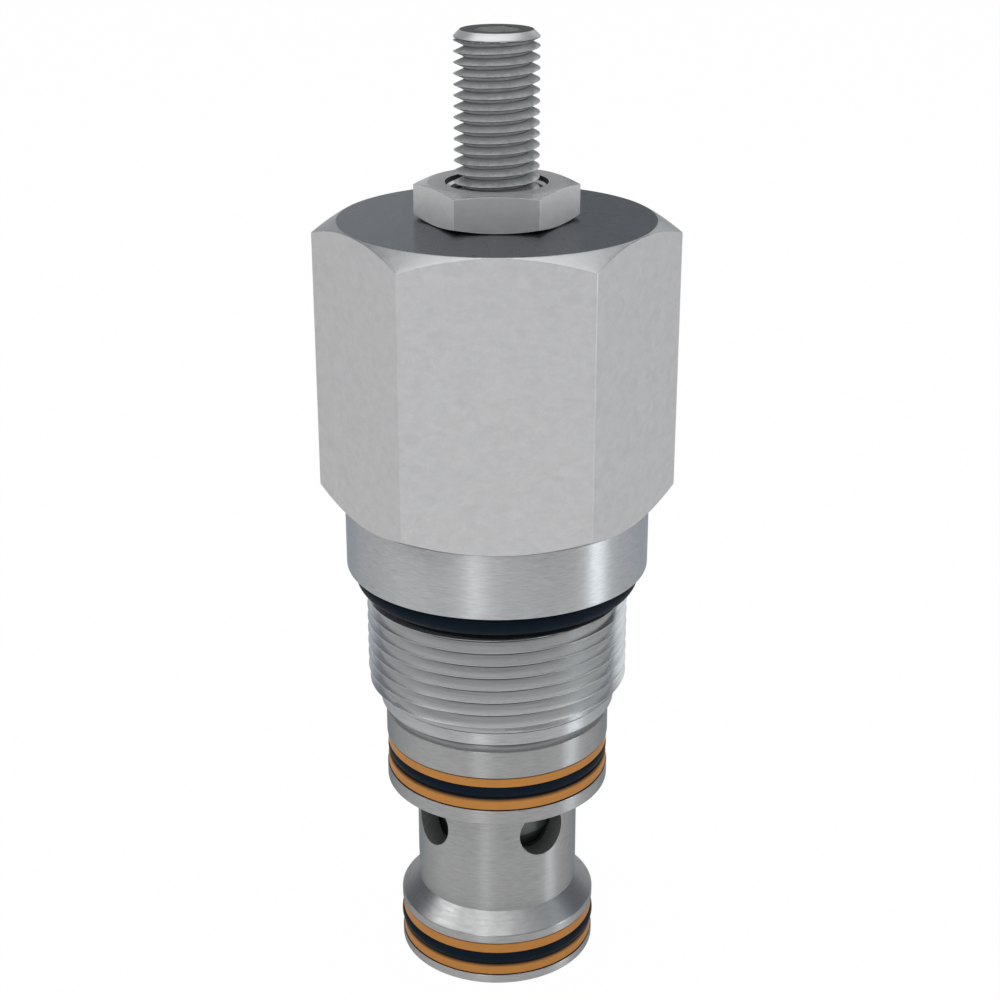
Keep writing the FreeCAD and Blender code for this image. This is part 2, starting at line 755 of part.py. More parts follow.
def make_screen_ring():
    """Open snap ring that holds the strainer in the poppet's nose."""
    drop = size.screen_thickness + size.screen_ring_height
    level = poppet_low + size.seat_gap + size.nose_pocket_depth - drop
    body = new_piece("screen_ring", level)
    outer = size.nose_pocket_radius + size.screen_ring_depth - size.plug_clearance
    height = size.screen_ring_height - size.plug_clearance
    inner = outer - size.screen_ring_width
    turned = turn_solid(body, [(inner, ZERO), (outer, ZERO), (outer, height), (inner, height)])
    sketch = new_sketch(body, "gap", "XY_Plane", level=height)
    corners = [
        FreeCAD.Vector(0, size.screen_ring_gap.value / 2, 0),
        FreeCAD.Vector(0, -size.screen_ring_gap.value / 2, 0),
        FreeCAD.Vector(outer.value + 1, -size.screen_ring_gap.value / 2, 0),
        FreeCAD.Vector(outer.value + 1, size.screen_ring_gap.value / 2, 0),
    ]
    sides = [Part.LineSegment(a, b) for a, b in zip(corners, corners[1:] + corners[:1])]
    sketch.addGeometry(sides, False)
    for index in range(4):
        sketch.addConstraint(Sketcher.Constraint("Coincident", index, 2, (index + 1) % 4, 1))
    sketch.addConstraint(Sketcher.Constraint("PointOnObject", 0, 1, -2))
    sketch.addConstraint(Sketcher.Constraint("Horizontal", 1))
    sketch.addConstraint(Sketcher.Constraint("Horizontal", 3))
    sketch.addConstraint(Sketcher.Constraint("Vertical", 2))
    sketch.addConstraint(Sketcher.Constraint("Symmetric", 0, 1, 0, 2, -1))
    bind(sketch, Sketcher.Constraint("DistanceY", 0, 2, 0, 1, size.screen_ring_gap.value), size.screen_ring_gap)
    bind(sketch, Sketcher.Constraint("DistanceX", -1, 1, 2, 1, outer.value + 1), outer + 1)
    cut = pocket(body, "gap_cut", sketch, height * 2)
    assert turned.Shape.Volume > cut.Shape.Volume


def make_pilot_seat():
    """Pilot seat: a rim clamped by the cage, a hub for the main spring and the seat nozzle."""
    body = new_piece("pilot_seat", cage_high - size.seat_hub_height)
    rim_low = size.seat_hub_height
    rim_high = rim_low + size.seat_height
    groove_low = rim_low + size.seat_groove_start
    groove_high = groove_low + size.seat_groove_width
    nozzle_top = rim_high + size.seat_nozzle_height
    hole_low = nozzle_top - size.seat_hole_length
    turn_solid(
        body,
        [
            (size.seat_drill_radius, ZERO),
            (seat_hub_radius - size.seat_edge, ZERO),
            (seat_hub_radius, size.seat_edge),
            (seat_hub_radius, rim_low),
            (seat_rim_radius - size.seat_edge, rim_low),
            (seat_rim_radius, rim_low + size.seat_edge),
            (seat_rim_radius, groove_low),
            (seat_groove_radius, groove_low),
            (seat_groove_radius, groove_high),
            (seat_rim_radius, groove_high),
            (seat_rim_radius, rim_high),
            (size.seat_nozzle_radius, rim_high),
            (size.seat_nozzle_radius, nozzle_top - size.seat_edge),
            (size.seat_nozzle_radius - size.seat_edge, nozzle_top),
            (size.seat_hole_radius, nozzle_top),
            (size.seat_hole_radius, hole_low),
            (size.seat_drill_radius, hole_low - (size.seat_drill_radius - size.seat_hole_radius)),
        ],
    )
    groove_middle = cage_high + size.seat_groove_start + size.seat_groove_width / 2
    section = seat_bore - seat_groove_radius - size.seal_clearance
    o_ring("pilot_seat_o_ring", groove_middle, seat_groove_radius, section)


def pilot_levels():
    """Where the pilot poppet's tip, cone top and spring face are, as levels up the axis."""
    slope = tangent(size.pilot_cone_angle)
    seated = nozzle_high + size.seat_gap
    tip = seated - (size.seat_hole_radius - size.pilot_tip_radius) / slope
    cone_high = seated + (size.pilot_cone_radius - size.seat_hole_radius) / slope
    return tip, cone_high, cone_high + size.pilot_flange_height


def make_pilot_poppet():
    """Pilot cone with its spring flange, spring guide and stem."""
    tip, cone_high, face = pilot_levels()
    body = new_piece("pilot_poppet", tip)
    flange_radius = pilot_coil_radius + size.pilot_wire / 2 - size.pilot_flange_step
    guide_radius = pilot_coil_radius - size.pilot_wire / 2 - size.pilot_guide_clearance
    guide_high = face - tip + size.pilot_guide_height
    stem_high = guide_high + size.pilot_stem_height
    turn_solid(
        body,
        [
            (ZERO, ZERO),
            (size.pilot_tip_radius, ZERO),
            (size.pilot_cone_radius, cone_high - tip),
            (flange_radius, cone_high - tip),
            (flange_radius, face - tip),
            (guide_radius, face - tip),
            (guide_radius, guide_high - size.pilot_edge),
            (guide_radius - size.pilot_edge, guide_high),
            (size.pilot_stem_radius, guide_high),
            (size.pilot_stem_radius, stem_high - size.pilot_edge),
            (size.pilot_stem_radius - size.pilot_edge, stem_high),
            (ZERO, stem_high),
        ],
    )


def make_springs_and_shim():
    """Main spring, setting spring and the shim above the setting spring."""
    main_low = poppet_low + size.seat_gap + size.poppet_floor
    main_height = cage_high - main_low
    coil_spring("main_spring", main_low, main_height, main_coil_radius, size.main_wire, size.main_turns)
    face = pilot_levels()[2]
    height = spring_room - face
    coil_spring("pilot_spring", face, height, pilot_coil_radius, size.pilot_wire, size.pilot_turns)
    shim = new_piece("spring_shim", spring_room)
    shim_radius = piston_recess_radius - size.shim_clearance
    turn_solid(
        shim,
        [
            (size.shim_bore_radius, ZERO),
            (shim_radius, ZERO),
            (shim_radius, size.shim_thickness),
            (size.shim_bore_radius, size.shim_thickness),
        ],
    )


def make_adjuster_piston():
    """Sealed piston between the adjusting screw and the setting spring, with its seal."""
    body = new_piece("adjuster_piston", piston_low)
    outer = piston_radius
    high = size.piston_height
    groove_high = high - size.piston_groove_start
    ring_low = groove_high - size.piston_ring_height
    groove_low = ring_low - piston_seal_section - size.seal_clearance * 2
    socket_low = high - size.piston_socket_depth
    socket = tip_radius + size.tip_clearance
    turn_solid(
        body,
        [
            (piston_recess_radius, ZERO),
            (outer - size.piston_edge, ZERO),
            (outer, size.piston_edge),
            (outer, groove_low),
            (piston_groove_radius, groove_low),
            (piston_groove_radius, groove_high),
            (outer, groove_high),
            (outer, high - size.piston_edge),
            (outer - size.piston_edge, high),
            (socket, high),
            (socket, socket_low),
            (ZERO, socket_low),
            (ZERO, size.piston_recess_depth),
            (piston_recess_radius, size.piston_recess_depth),
        ],
    )
    seal_level = piston_low + ring_low - size.seal_clearance - piston_seal_section / 2
    o_ring("adjuster_o_ring", seal_level, piston_groove_radius, piston_seal_section)
    ring = new_piece("adjuster_backup_ring", piston_low + ring_low)
    inner = piston_groove_radius + size.ring_clearance
    height = size.piston_ring_height - size.ring_clearance
    turn_solid(ring, [(inner, ZERO), (outer, ZERO), (outer, height), (inner, height)])


def make_adjusting_screw():
    """Adjusting screw with a plain tip and a hexagon socket in its top."""
    body = new_piece("adjusting_screw", screw_low)
    thread_low = size.tip_height
    high = size.screw_length
    turned = turn_solid(
        body,
        [
            (ZERO, ZERO),
            (tip_radius, ZERO),
            (tip_radius, thread_low),
            (size.screw_radius, thread_low + size.tip_step),
            (size.screw_radius, high - size.screw_edge),
            (size.screw_radius - size.screw_edge, high),
            (ZERO, high),
        ],
    )
    socket = hexagon_sketch(body, "socket", size.screw_socket_flats, high, size.screw_socket_turn)
    cut = pocket(body, "socket_cut", socket, size.screw_socket_depth)
    assert turned.Shape.Volume > cut.Shape.Volume


def make_lock_nut():
    """Thin hexagon nut with both faces chamfered and both thread mouths countersunk."""
    body = new_piece("lock_nut", body_high)
    rim = corner_radius(size.nut_flats) + 1
    face_radius = size.nut_flats / 2 - size.nut_face_step
    upper_slope = (rim - face_radius) * tangent(size.nut_chamfer_angle)
    lower_slope = (rim - face_radius) * tangent(size.nut_lower_chamfer_angle)
    turned = turn_solid(
        body,
        [
            (screw_bore + size.nut_lower_mouth, ZERO),
            (face_radius, ZERO),
            (rim, lower_slope),
            (rim, size.nut_height - upper_slope),
            (face_radius, size.nut_height),
            (screw_bore + size.nut_mouth, size.nut_height),
            (screw_bore, size.nut_height - size.nut_mouth),
            (screw_bore, size.nut_lower_mouth),
        ],
    )
    hexagon = hexagon_sketch(body, "flats", size.nut_flats, size.nut_height, size.hexagon_turn, rim + 1)
    flats = pocket(body, "flats_cut", hexagon, size.nut_height)
    assert turned.Shape.Volume > flats.Shape.Volume


def make_body_seals():
    """The O-ring under the collar and the one between the cage and the hex body."""
    collar_seal = collar_low - size.collar_seal_section / 2
    o_ring("collar_o_ring", collar_seal, collar_groove_radius, size.collar_seal_section)
    middle = body_low + size.spigot_groove_start + size.spigot_groove_width / 2
    section = spigot_bore - spigot_groove_radius - size.seal_clearance
    o_ring("cage_o_ring", middle, spigot_groove_radius, section)


def write_parts():
    """Checks every object and every sub-part, then writes one file for each sub-part."""
    doc.recompute()
    for item in doc.Objects:
        if "Invalid" in item.State or "Error" in item.State:
            raise RuntimeError(f"{item.Name} is in state {item.State}")
    for piece in pieces:
        if piece.Shape.isNull() or not piece.Shape.isValid():
            raise RuntimeError(f"{piece.Label} has no valid shape")
    os.makedirs("parts", exist_ok=True)
    for piece in pieces:
        piece.Shape.exportStep(f"parts/{piece.Label}.step")
        print(f"{piece.Label}: {len(piece.Shape.Solids)} solid, {piece.Shape.Volume:.1f} cubic mm")


make_hex_body()
make_cage()
make_seal_pack("upper", land_groove_low, land_groove_radius, size.land_radius)
make_seal_pack("nose", nose_groove_low, nose_groove_radius, size.nose_radius)
make_body_seals()
make_main_poppet()
make_orifice_plug()
make_orifice_screen()
make_screen_ring()
make_pilot_seat()
make_pilot_poppet()
make_springs_and_shim()
make_adjuster_piston()
make_adjusting_screw()
make_lock_nut()
write_parts()
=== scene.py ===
import math

import bmesh
import bpy
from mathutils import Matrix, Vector


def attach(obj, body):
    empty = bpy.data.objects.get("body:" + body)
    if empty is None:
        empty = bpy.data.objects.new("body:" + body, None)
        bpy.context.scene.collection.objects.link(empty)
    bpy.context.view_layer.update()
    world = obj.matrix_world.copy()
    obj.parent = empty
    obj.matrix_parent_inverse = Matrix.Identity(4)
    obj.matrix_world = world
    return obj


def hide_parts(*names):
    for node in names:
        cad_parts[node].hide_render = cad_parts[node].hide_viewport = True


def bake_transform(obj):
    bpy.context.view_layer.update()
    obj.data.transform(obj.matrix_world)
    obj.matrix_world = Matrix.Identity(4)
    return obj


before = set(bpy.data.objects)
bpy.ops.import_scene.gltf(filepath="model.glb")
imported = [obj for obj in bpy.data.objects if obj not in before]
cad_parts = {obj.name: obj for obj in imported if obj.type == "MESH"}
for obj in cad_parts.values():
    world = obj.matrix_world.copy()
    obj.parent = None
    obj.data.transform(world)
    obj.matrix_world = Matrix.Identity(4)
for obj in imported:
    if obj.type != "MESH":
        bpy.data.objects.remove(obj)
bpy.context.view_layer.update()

# Lengths here are millimetres, angles are degrees, and the meshes are written in metres.
MM = 0.001
CAMERA_TURN = -34.6
HEXAGON_TURN = 55.4
SOCKET_TURN = 11.8


# Mesh building


def bare_object(name, points, faces, body, nodes):
    """A welded, smooth mesh piece that stands for CAD nodes and, if a body is given, rides on it."""
    mesh = bpy.data.meshes.new(name)
    mesh.from_pydata([(x * MM, y * MM, z * MM) for x, y, z in points], [], faces)
    work = bmesh.new()
    work.from_mesh(mesh)
    bmesh.ops.remove_doubles(work, verts=work.verts, dist=0.002 * MM)
    bmesh.ops.recalc_face_normals(work, faces=work.faces)
    work.to_mesh(mesh)
    work.free()
    mesh.polygons.foreach_set("use_smooth", [True] * len(mesh.polygons))
    mesh.set_sharp_from_angle(angle=math.radians(36))
    piece = bpy.data.objects.new(name, mesh)
    bpy.context.scene.collection.objects.link(piece)
    if body:
        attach(piece, body)
    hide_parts(*nodes)
    return piece


def dress(piece, materials, choose):
    """Gives a piece its materials, and each face the one that choose(radius, z, normal) names."""
    for material in materials:
        piece.data.materials.append(material)
    for face in piece.data.polygons:
        x, y, z = face.center / MM
        face.material_index = choose(math.hypot(x, y), z, face.normal)


def even_angles(count, start):
    """Angles round the axis, evenly spaced from start."""
    return [start + 360.0 * index / count for index in range(count)]


def corner_angles(count, start, spread):
    """Even angles with more of them close to the six corners of a hexagon."""
    extra = [spread * share for share in (-1.5, -1.0, -0.67, -0.33, 0.33, 0.67, 1.0, 1.5)]
    corners = [start + 60.0 * index for index in range(6)]
    return sorted(set(even_angles(count, start)) | {a + b for a in corners for b in extra})


def ring(angles, radius, level):
    """A row of points; radius and level are numbers or functions of the angle."""
    row = []
    for angle in angles:
        r = radius(angle) if callable(radius) else radius
        z = level(angle) if callable(level) else level
        row.append((r * math.cos(math.radians(angle)), r * math.sin(math.radians(angle)), z))
    return row


def join_rows(points, faces, rows):
    """Adds rows of points and the faces between them; a row of one point is an end on the axis."""
    starts = []
    for row in rows:
        starts.append(len(points))
        points.extend(row)
    for (a, row_a), (b, row_b) in zip(zip(starts, rows), zip(starts[1:], rows[1:])):
        count = max(len(row_a), len(row_b))
        for i in range(count):
            j = (i + 1) % count
            if len(row_a) == 1:
                faces.append((a, b + j, b + i))
            elif len(row_b) == 1:
                faces.append((a + i, a + j, b))
            else:
                faces.append((a + i, a + j, b + j, b + i))


def rounded(corners, closed=True):
    """A profile of (radius, height, setback) corners with each corner eased by a short curve."""
    result = []
    count = len(corners)
    for index, (r, z, setback) in enumerate(corners):
        here = Vector((r, z))
        if setback == 0 or (not closed and index in (0, count - 1)):
            result.append((r, z))
            continue
        before = Vector(corners[index - 1][:2]) - here
        after = Vector(corners[(index + 1) % count][:2]) - here
        into = here + before.normalized() * setback
        out = here + after.normalized() * setback
        if before.length > 3 * setback:
            result.append(tuple(here + before.normalized() * setback * 1.6))
        for step in range(4):
            t = step / 3
            result.append(tuple(into * (1 - t) ** 2 + here * 2 * t * (1 - t) + out * t**2))
        if after.length > 3 * setback:
            result.append(tuple(here + after.normalized() * setback * 1.6))
    return result


def turned(name, corners, angles, body, nodes):
    """A piece turned from a closed profile."""
    points = []
    faces = []
    profile = rounded(corners)
    rows = [ring(angles, r, z) for r, z in profile]
    rows.append(rows[0])
    join_rows(points, faces, rows)
    return bare_object(name, points, faces, body, nodes)


def hexagon_radius(angle, flats, turn, ease):
    """Radius of a hexagon with lightly rounded corners at an angle; turn is one corner's angle."""
    half = flats / 2
    off = abs((angle - turn + 30.0) % 60.0 - 30.0)
    from_flat = math.radians(30.0 - off)
    tangent_off = math.atan((half - ease) * math.tan(math.radians(30)) / half)
    if from_flat <= tangent_off:
        return half / math.cos(from_flat)
    centre = (half - ease) / math.cos(math.radians(30))
    across = math.radians(off)
    return centre * math.cos(across) + math.sqrt(ease**2 - (centre * math.sin(across)) ** 2)


def hexagon_end(angles, flats, ease, face_radius, slope_angle, bevel, level, sign):
    """Rows of a hexagon's chamfered end, from its face outwards; sign is -1 at the top, 1 at the bottom."""
    slope = math.tan(math.radians(slope_angle))

    def across(angle):
        return hexagon_radius(angle, flats, HEXAGON_TURN, ease)

    def cone(share):
        def radius(angle):
            width = across(angle) - face_radius
            near = min(bevel, 0.3 * width)
            return face_radius + near + (width - 2 * near) * share

        def drop(angle):
            return (radius(angle) - face_radius) * slope

        return radius, drop

    def edge(share):
        def drop(angle):
            width = across(angle) - face_radius
            return width * slope + share * min(bevel, 0.3 * width)

        return across, drop

    steps = [
        (lambda angle: face_radius - 2.5 * bevel, lambda angle: 0.0),
        (lambda angle: face_radius - bevel, lambda angle: 0.0),
        (lambda angle: face_radius - 0.1 * bevel, lambda angle: 0.12 * bevel * slope),
        cone(0),
        cone(0.33),
        cone(0.66),
        cone(1),
        (lambda angle: across(angle) - 0.12 * bevel, lambda angle: edge(0)[1](angle) + 0.05 * bevel),
        edge(1),
        edge(2.5),
    ]
    rows = []
    for radius, drop in steps:
        rows.append(ring(angles, radius, lambda angle, drop=drop: level + sign * drop(angle)))
    return rows


def hexagon_rows(angles, flats, ease, face_radius, low, high, bevel, slopes=(30, 30)):
    """Rows of a chamfered hexagon's outside, from the rim of its top face to that of its bottom face."""

    def across(angle):
        return hexagon_radius(angle, flats, HEXAGON_TURN, ease)

    rows = hexagon_end(angles, flats, ease, face_radius, slopes[0], bevel, high, -1)
    rows.append(ring(angles, across, (low + high) / 2))
    rows += reversed(hexagon_end(angles, flats, ease, face_radius, slopes[1], bevel, low, 1))
    return rows


def saw(position, crest_width, root_width):
    """A symmetric thread's height, 0 at its root and 1 at its crest, at a position in pitches."""
    off = abs((position + 0.5) % 1.0 - 0.5)
    flank = 0.5 - crest_width / 2 - root_width / 2
    return min(1.0, max(0.0, 1.0 - (off - crest_width / 2) / flank))


class Thread:
    """A right handed helical thread with its crest at a level on the side that faces the camera."""

    def __init__(self, crest, root, pitch, level, crest_width, root_width, envelope):
        self.crest = crest
        self.root = root
        self.pitch = pitch
        self.level = level
        self.crest_width = crest_width
        self.root_width = root_width
        self.envelope = envelope

    def position(self, angle, z):
        """Pitches above the nearest crest line, counted on from the camera's side."""
        return (z - self.level) / self.pitch - (angle - CAMERA_TURN) / 360.0

    def radius(self, angle, z):
        """Radius of the threaded surface."""
        height = saw(self.position(angle, z), self.crest_width, self.root_width)
        return self.envelope(self.root + (self.crest - self.root) * height, z)

    def patch(self, points, faces, angles, low, high):
        """Adds the thread between two levels, with rows of points that follow the helix."""
        crest = self.crest_width / 2
        root = 0.5 - self.root_width / 2
        marks = [crest, crest + 0.03, (crest + root) / 2, root - 0.03, root]
        steps = sorted([-mark for mark in marks] + [0.0] + marks)
        per_turn = len(steps)
        first = math.floor(self.position(angles[-1], low)) - 1
        last = math.ceil(self.position(angles[0], high)) + 1
        lines = [whole + step for whole in range(first, last + 1) for step in steps]
        gap = 0.02 * self.pitch
        grid = []
        for angle in angles:
            column = []
            for line in lines:
                z = self.level + self.pitch * (line + (angle - CAMERA_TURN) / 360.0)
                column.append(min(high, max(low, z)))
            ends = {}
            ids = []
            for z in column:
                key = low if z < low + gap else high if z > high - gap else z
                if key not in ends:
                    ends[key] = len(points)
                    r = self.radius(angle, key)
                    points.append((r * math.cos(math.radians(angle)), r * math.sin(math.radians(angle)), key))
                ids.append(ends[key])
            grid.append(ids)
        count = len(angles)
        for i in range(count):
            here = grid[i]
            there = grid[(i + 1) % count]
            shift = per_turn if i == count - 1 else 0
            for k in range(len(lines) - 1):
                if k + 1 + shift >= len(lines):
                    right = [there[-1], there[-1]]
                else:
                    right = [there[k + shift], there[k + 1 + shift]]
                corners = []
                for corner in (here[k], right[0], right[1], here[k + 1]):
                    if corner not in corners:
                        corners.append(corner)
                if len(corners) > 2:
                    faces.append(tuple(corners))


# Materials


def new_material(name):
    """An empty node material: its tree, its shader and a node maker."""
    material = bpy.data.materials.new(name)
    material.use_nodes = True
    tree = material.node_tree
    tree.nodes.clear()
    output = tree.nodes.new("ShaderNodeOutputMaterial")
    shader = tree.nodes.new("ShaderNodeBsdfPrincipled")
    tree.links.new(shader.outputs["BSDF"], output.inputs["Surface"])
    return material, tree, shader


def link(tree, out_node, out_name, in_node, in_name):
    """Joins a node's output to another node's input."""
    tree.links.new(out_node.outputs[out_name], in_node.inputs[in_name])


def streak_vector(tree, along, across, lean):
    """Coordinates whose noise runs in long streaks round the axis; lean adds the radius to the height."""
    coords = tree.nodes.new("ShaderNodeTexCoord")
    split = tree.nodes.new("ShaderNodeSeparateXYZ")
    link(tree, coords, "Object", split, "Vector")
    flat = tree.nodes.new("ShaderNodeCombineXYZ")
    link(tree, split, "X", flat, "X")
    link(tree, split, "Y", flat, "Y")
    length = tree.nodes.new("ShaderNodeVectorMath")
    length.operation = "LENGTH"
    link(tree, flat, "Vector", length, 0)
    mix = tree.nodes.new("ShaderNodeMath")
    mix.operation = "MULTIPLY_ADD"
    link(tree, length, "Value", mix, 0)
    mix.inputs[1].default_value = lean
    link(tree, split, "Z", mix, 2)
    join = tree.nodes.new("ShaderNodeCombineXYZ")
    link(tree, split, "X", join, "X")
    link(tree, split, "Y", join, "Y")
    link(tree, mix, "Value", join, "Z")
    scale = tree.nodes.new("ShaderNodeVectorMath")
    scale.operation = "MULTIPLY"
    link(tree, join, "Vector", scale, 0)
    scale.inputs[1].default_value = (along, along, across)
    return scale, "Vector"


def plain_vector(tree, stretch=(1.0, 1.0, 1.0)):
    """Object coordinates, stretched."""
    coords = tree.nodes.new("ShaderNodeTexCoord")
    scale = tree.nodes.new("ShaderNodeVectorMath")
    scale.operation = "MULTIPLY"
    link(tree, coords, "Object", scale, 0)
    scale.inputs[1].default_value = stretch
    return scale, "Vector"


def noise(tree, vector, scale, detail=3.0, roughness=0.55, distortion=0.0):
    """A noise over coordinates that streak_vector or plain_vector gives."""
    node = tree.nodes.new("ShaderNodeTexNoise")
    tree.links.new(vector[0].outputs[vector[1]], node.inputs["Vector"])
    node.inputs["Scale"].default_value = scale
    node.inputs["Detail"].default_value = detail
    node.inputs["Roughness"].default_value = roughness
    node.inputs["Distortion"].default_value = distortion
    return node


def spread(tree, source, low, high, start=0.3, end=0.7):
    """Maps a noise's middle range to low..high."""
    node = tree.nodes.new("ShaderNodeMapRange")
    link(tree, source, "Fac", node, "Value")
    node.inputs["From Min"].default_value = start
    node.inputs["From Max"].default_value = end
    node.inputs["To Min"].default_value = low
    node.inputs["To Max"].default_value = high
    return node


def blend_colours(tree, factor, first, second):
    """Goes from one colour to another; each is three numbers or a node that this function made."""
    node = tree.nodes.new("ShaderNodeMix")
    node.data_type = "RGBA"
    tree.links.new(factor.outputs["Result"], node.inputs[0])
    for socket, colour in ((6, first), (7, second)):
        if isinstance(colour, bpy.types.Node):
            tree.links.new(colour.outputs[2], node.inputs[socket])
        else:
            node.inputs[socket].default_value = (*colour, 1.0)
    return node


def add_bump(tree, shader, height, depth):
    """Raises the surface by a noise, to a depth in metres."""
    bump = tree.nodes.new("ShaderNodeBump")
    link(tree, height, "Fac", bump, "Height")
    bump.inputs["Distance"].default_value = depth
    bump.inputs["Strength"].default_value = 1.0
    link(tree, bump, "Normal", shader, "Normal")


def turned_metal(name, dark, light, low_rough, high_rough, anisotropy, metallic, edge=(1.0, 1.0, 1.0),
                 along=60.0, across=8000.0, depth=0.000002, lean=0.6):
    """Steel with fine lathe lines round the axis."""
    material, tree, shader = new_material(name)
    vector = streak_vector(tree, along, across, lean)
    lines = noise(tree, vector, 1.0, 4.0, 0.6)
    cloud = noise(tree, plain_vector(tree), 260.0, 3.0)
    tone = blend_colours(tree, spread(tree, lines, 0.0, 1.0), dark, light)
    mid = tuple((a + b) / 2 for a, b in zip(dark, light))
    colour = blend_colours(tree, spread(tree, cloud, 0.0, 0.35), tone, mid)
    tree.links.new(colour.outputs[2], shader.inputs["Base Color"])
    rough = spread(tree, lines, high_rough, low_rough)
    link(tree, rough, "Result", shader, "Roughness")
    shader.inputs["Metallic"].default_value = metallic
    shader.inputs["Specular Tint"].default_value = (*edge, 1.0)
    shader.inputs["Anisotropic"].default_value = anisotropy
    shader.inputs["Anisotropic Rotation"].default_value = 0.25
    tangent = tree.nodes.new("ShaderNodeTangent")
    tangent.direction_type = "RADIAL"
    tangent.axis = "Z"
    link(tree, tangent, "Tangent", shader, "Tangent")
    add_bump(tree, shader, lines, depth)
    return material


def grained_metal(name, dark, light, tint, low_rough, high_rough, metallic, cloud_scale, grain_scale,
                  depth=0.000004, edge=(1.0, 1.0, 1.0)):
    """Plated or blasted steel: soft clouds, a second tint and a fine grain."""
    material, tree, shader = new_material(name)
    cloud = noise(tree, plain_vector(tree, (1.0, 1.0, 1.5)), cloud_scale, 6.0, 0.62, 0.4)
    grain = noise(tree, plain_vector(tree), grain_scale, 2.0)
    stain = noise(tree, plain_vector(tree, (1.0, 1.0, 2.0)), cloud_scale * 0.45, 4.0, 0.6)
    tone = blend_colours(tree, spread(tree, cloud, 0.0, 1.0, 0.34, 0.66), dark, light)
    tinted = blend_colours(tree, spread(tree, stain, 0.0, 0.6, 0.45, 0.7), tone, tint)
    speck = blend_colours(tree, spread(tree, grain, 0.0, 0.45), tinted, dark)
    tree.links.new(speck.outputs[2], shader.inputs["Base Color"])
    rough = spread(tree, cloud, low_rough, high_rough)
    link(tree, rough, "Result", shader, "Roughness")
    shader.inputs["Metallic"].default_value = metallic
    shader.inputs["Specular Tint"].default_value = (*edge, 1.0)
    add_bump(tree, shader, grain, depth)
    return material


def moulded(name, dark, light, low_rough, high_rough, scale, depth, specular):
    """Rubber or plastic with a faint unevenness."""
    material, tree, shader = new_material(name)
    cloud = noise(tree, plain_vector(tree), scale, 4.0)
    grain = noise(tree, plain_vector(tree), scale * 9.0, 2.0)
    tone = blend_colours(tree, spread(tree, cloud, 0.0, 1.0), dark, light)
    tree.links.new(tone.outputs[2], shader.inputs["Base Color"])
    rough = spread(tree, grain, low_rough, high_rough)
    link(tree, rough, "Result", shader, "Roughness")
    shader.inputs["Specular IOR Level"].default_value = specular
    add_bump(tree, shader, grain, depth)
    return material


zinc = grained_metal(
    "zinc_flats", (0.515, 0.515, 0.523), (0.625, 0.625, 0.633), (0.59, 0.588, 0.594),
    0.34, 0.44, 0.68, 620.0, 5600.0, 0.000004, (0.46, 0.46, 0.46),
)
# Painted shade: a darker copy of the zinc plating for the hexagon's sloping chamfers.
zinc_chamfer_painted_shade = grained_metal(
    "zinc_chamfer_painted_shade", (0.33, 0.332, 0.337), (0.39, 0.392, 0.397), (0.37, 0.37, 0.375),
    0.32, 0.42, 0.75, 620.0, 5600.0,
)
# Bluish plating tint on the hex body's top face, painted much darker than the flats as painted shade of a
# face that looks up.
blue_zinc_painted_shade = grained_metal(
    "blue_zinc_face_painted_shade", (0.13, 0.139, 0.154), (0.172, 0.182, 0.2), (0.15, 0.16, 0.174),
    0.26, 0.33, 0.9, 900.0, 9000.0, 0.000003,
)
turned_zinc = turned_metal(
    "turned_zinc", (0.425, 0.43, 0.435), (0.575, 0.58, 0.585),
    0.38, 0.46, 0.9, 1.0, (0.5, 0.56, 0.62), 700.0, 9000.0,
)
thread_steel = turned_metal(
    "thread_steel", (0.54, 0.55, 0.555), (0.68, 0.69, 0.695),
    0.2, 0.28, 0.4, 0.92, depth=0.0000015, lean=0.0,
)
# Painted shade: a darker copy of the thread steel for the downward flanks of the body's thread.
under_thread_painted_shade = turned_metal(
    "under_thread_painted_shade", (0.48, 0.485, 0.49), (0.58, 0.585, 0.59),
    0.3, 0.4, 0.3, 0.8, depth=0.0000005, lean=0.0,
)
thread_end = turned_metal(
    "thread_end", (0.42, 0.425, 0.43), (0.52, 0.525, 0.53),
    0.5, 0.6, 0.0, 0.2, depth=0.0000005, lean=0.0,
)
# Painted shade: the adjusting screw's downward flanks, darker near the crest (see the shade calls below).
under_screw_painted_shade = grained_metal(
    "under_screw_painted_shade", (0.50, 0.51, 0.515), (0.76, 0.77, 0.775), (0.62, 0.63, 0.635),
    0.4, 0.5, 0.6, 1100.0, 4600.0, 0.000006, (0.4, 0.4, 0.4),
)
# Painted shade: dark matte steel in the roots of the adjusting screw's thread.
root_screw_painted_shade = grained_metal(
    "root_screw_painted_shade", (0.12, 0.122, 0.123), (0.18, 0.183, 0.185), (0.15, 0.152, 0.153),
    0.7, 0.8, 0.0, 900.0, 6000.0,
)
groove_shade = grained_metal(
    "groove_shade", (0.008, 0.009, 0.01), (0.02, 0.022, 0.024), (0.012, 0.013, 0.014),
    0.5, 0.6, 0.2, 900.0, 5200.0,
)
cage_steel = turned_metal(
    "cage_steel", (0.325, 0.325, 0.325), (0.425, 0.425, 0.425),
    0.34, 0.42, 0.88, 1.0, (0.4, 0.44, 0.46), 700.0, 9000.0,
)
cone_steel = turned_metal(
    "cone_steel", (0.345, 0.345, 0.345), (0.435, 0.435, 0.435),
    0.32, 0.4, 0.55, 1.0, (0.5, 0.52, 0.54), 700.0, 9000.0,
)
# Painted light and shade: a lighter, more diffuse copy of the cage steel for the neck fillet, painted darker
# towards the band above it.
neck_painted_light_and_shade = turned_metal("neck_painted_light_and_shade", (0.50, 0.505, 0.51), (0.57, 0.575, 0.58), 0.34, 0.42, 0.5, 0.3)
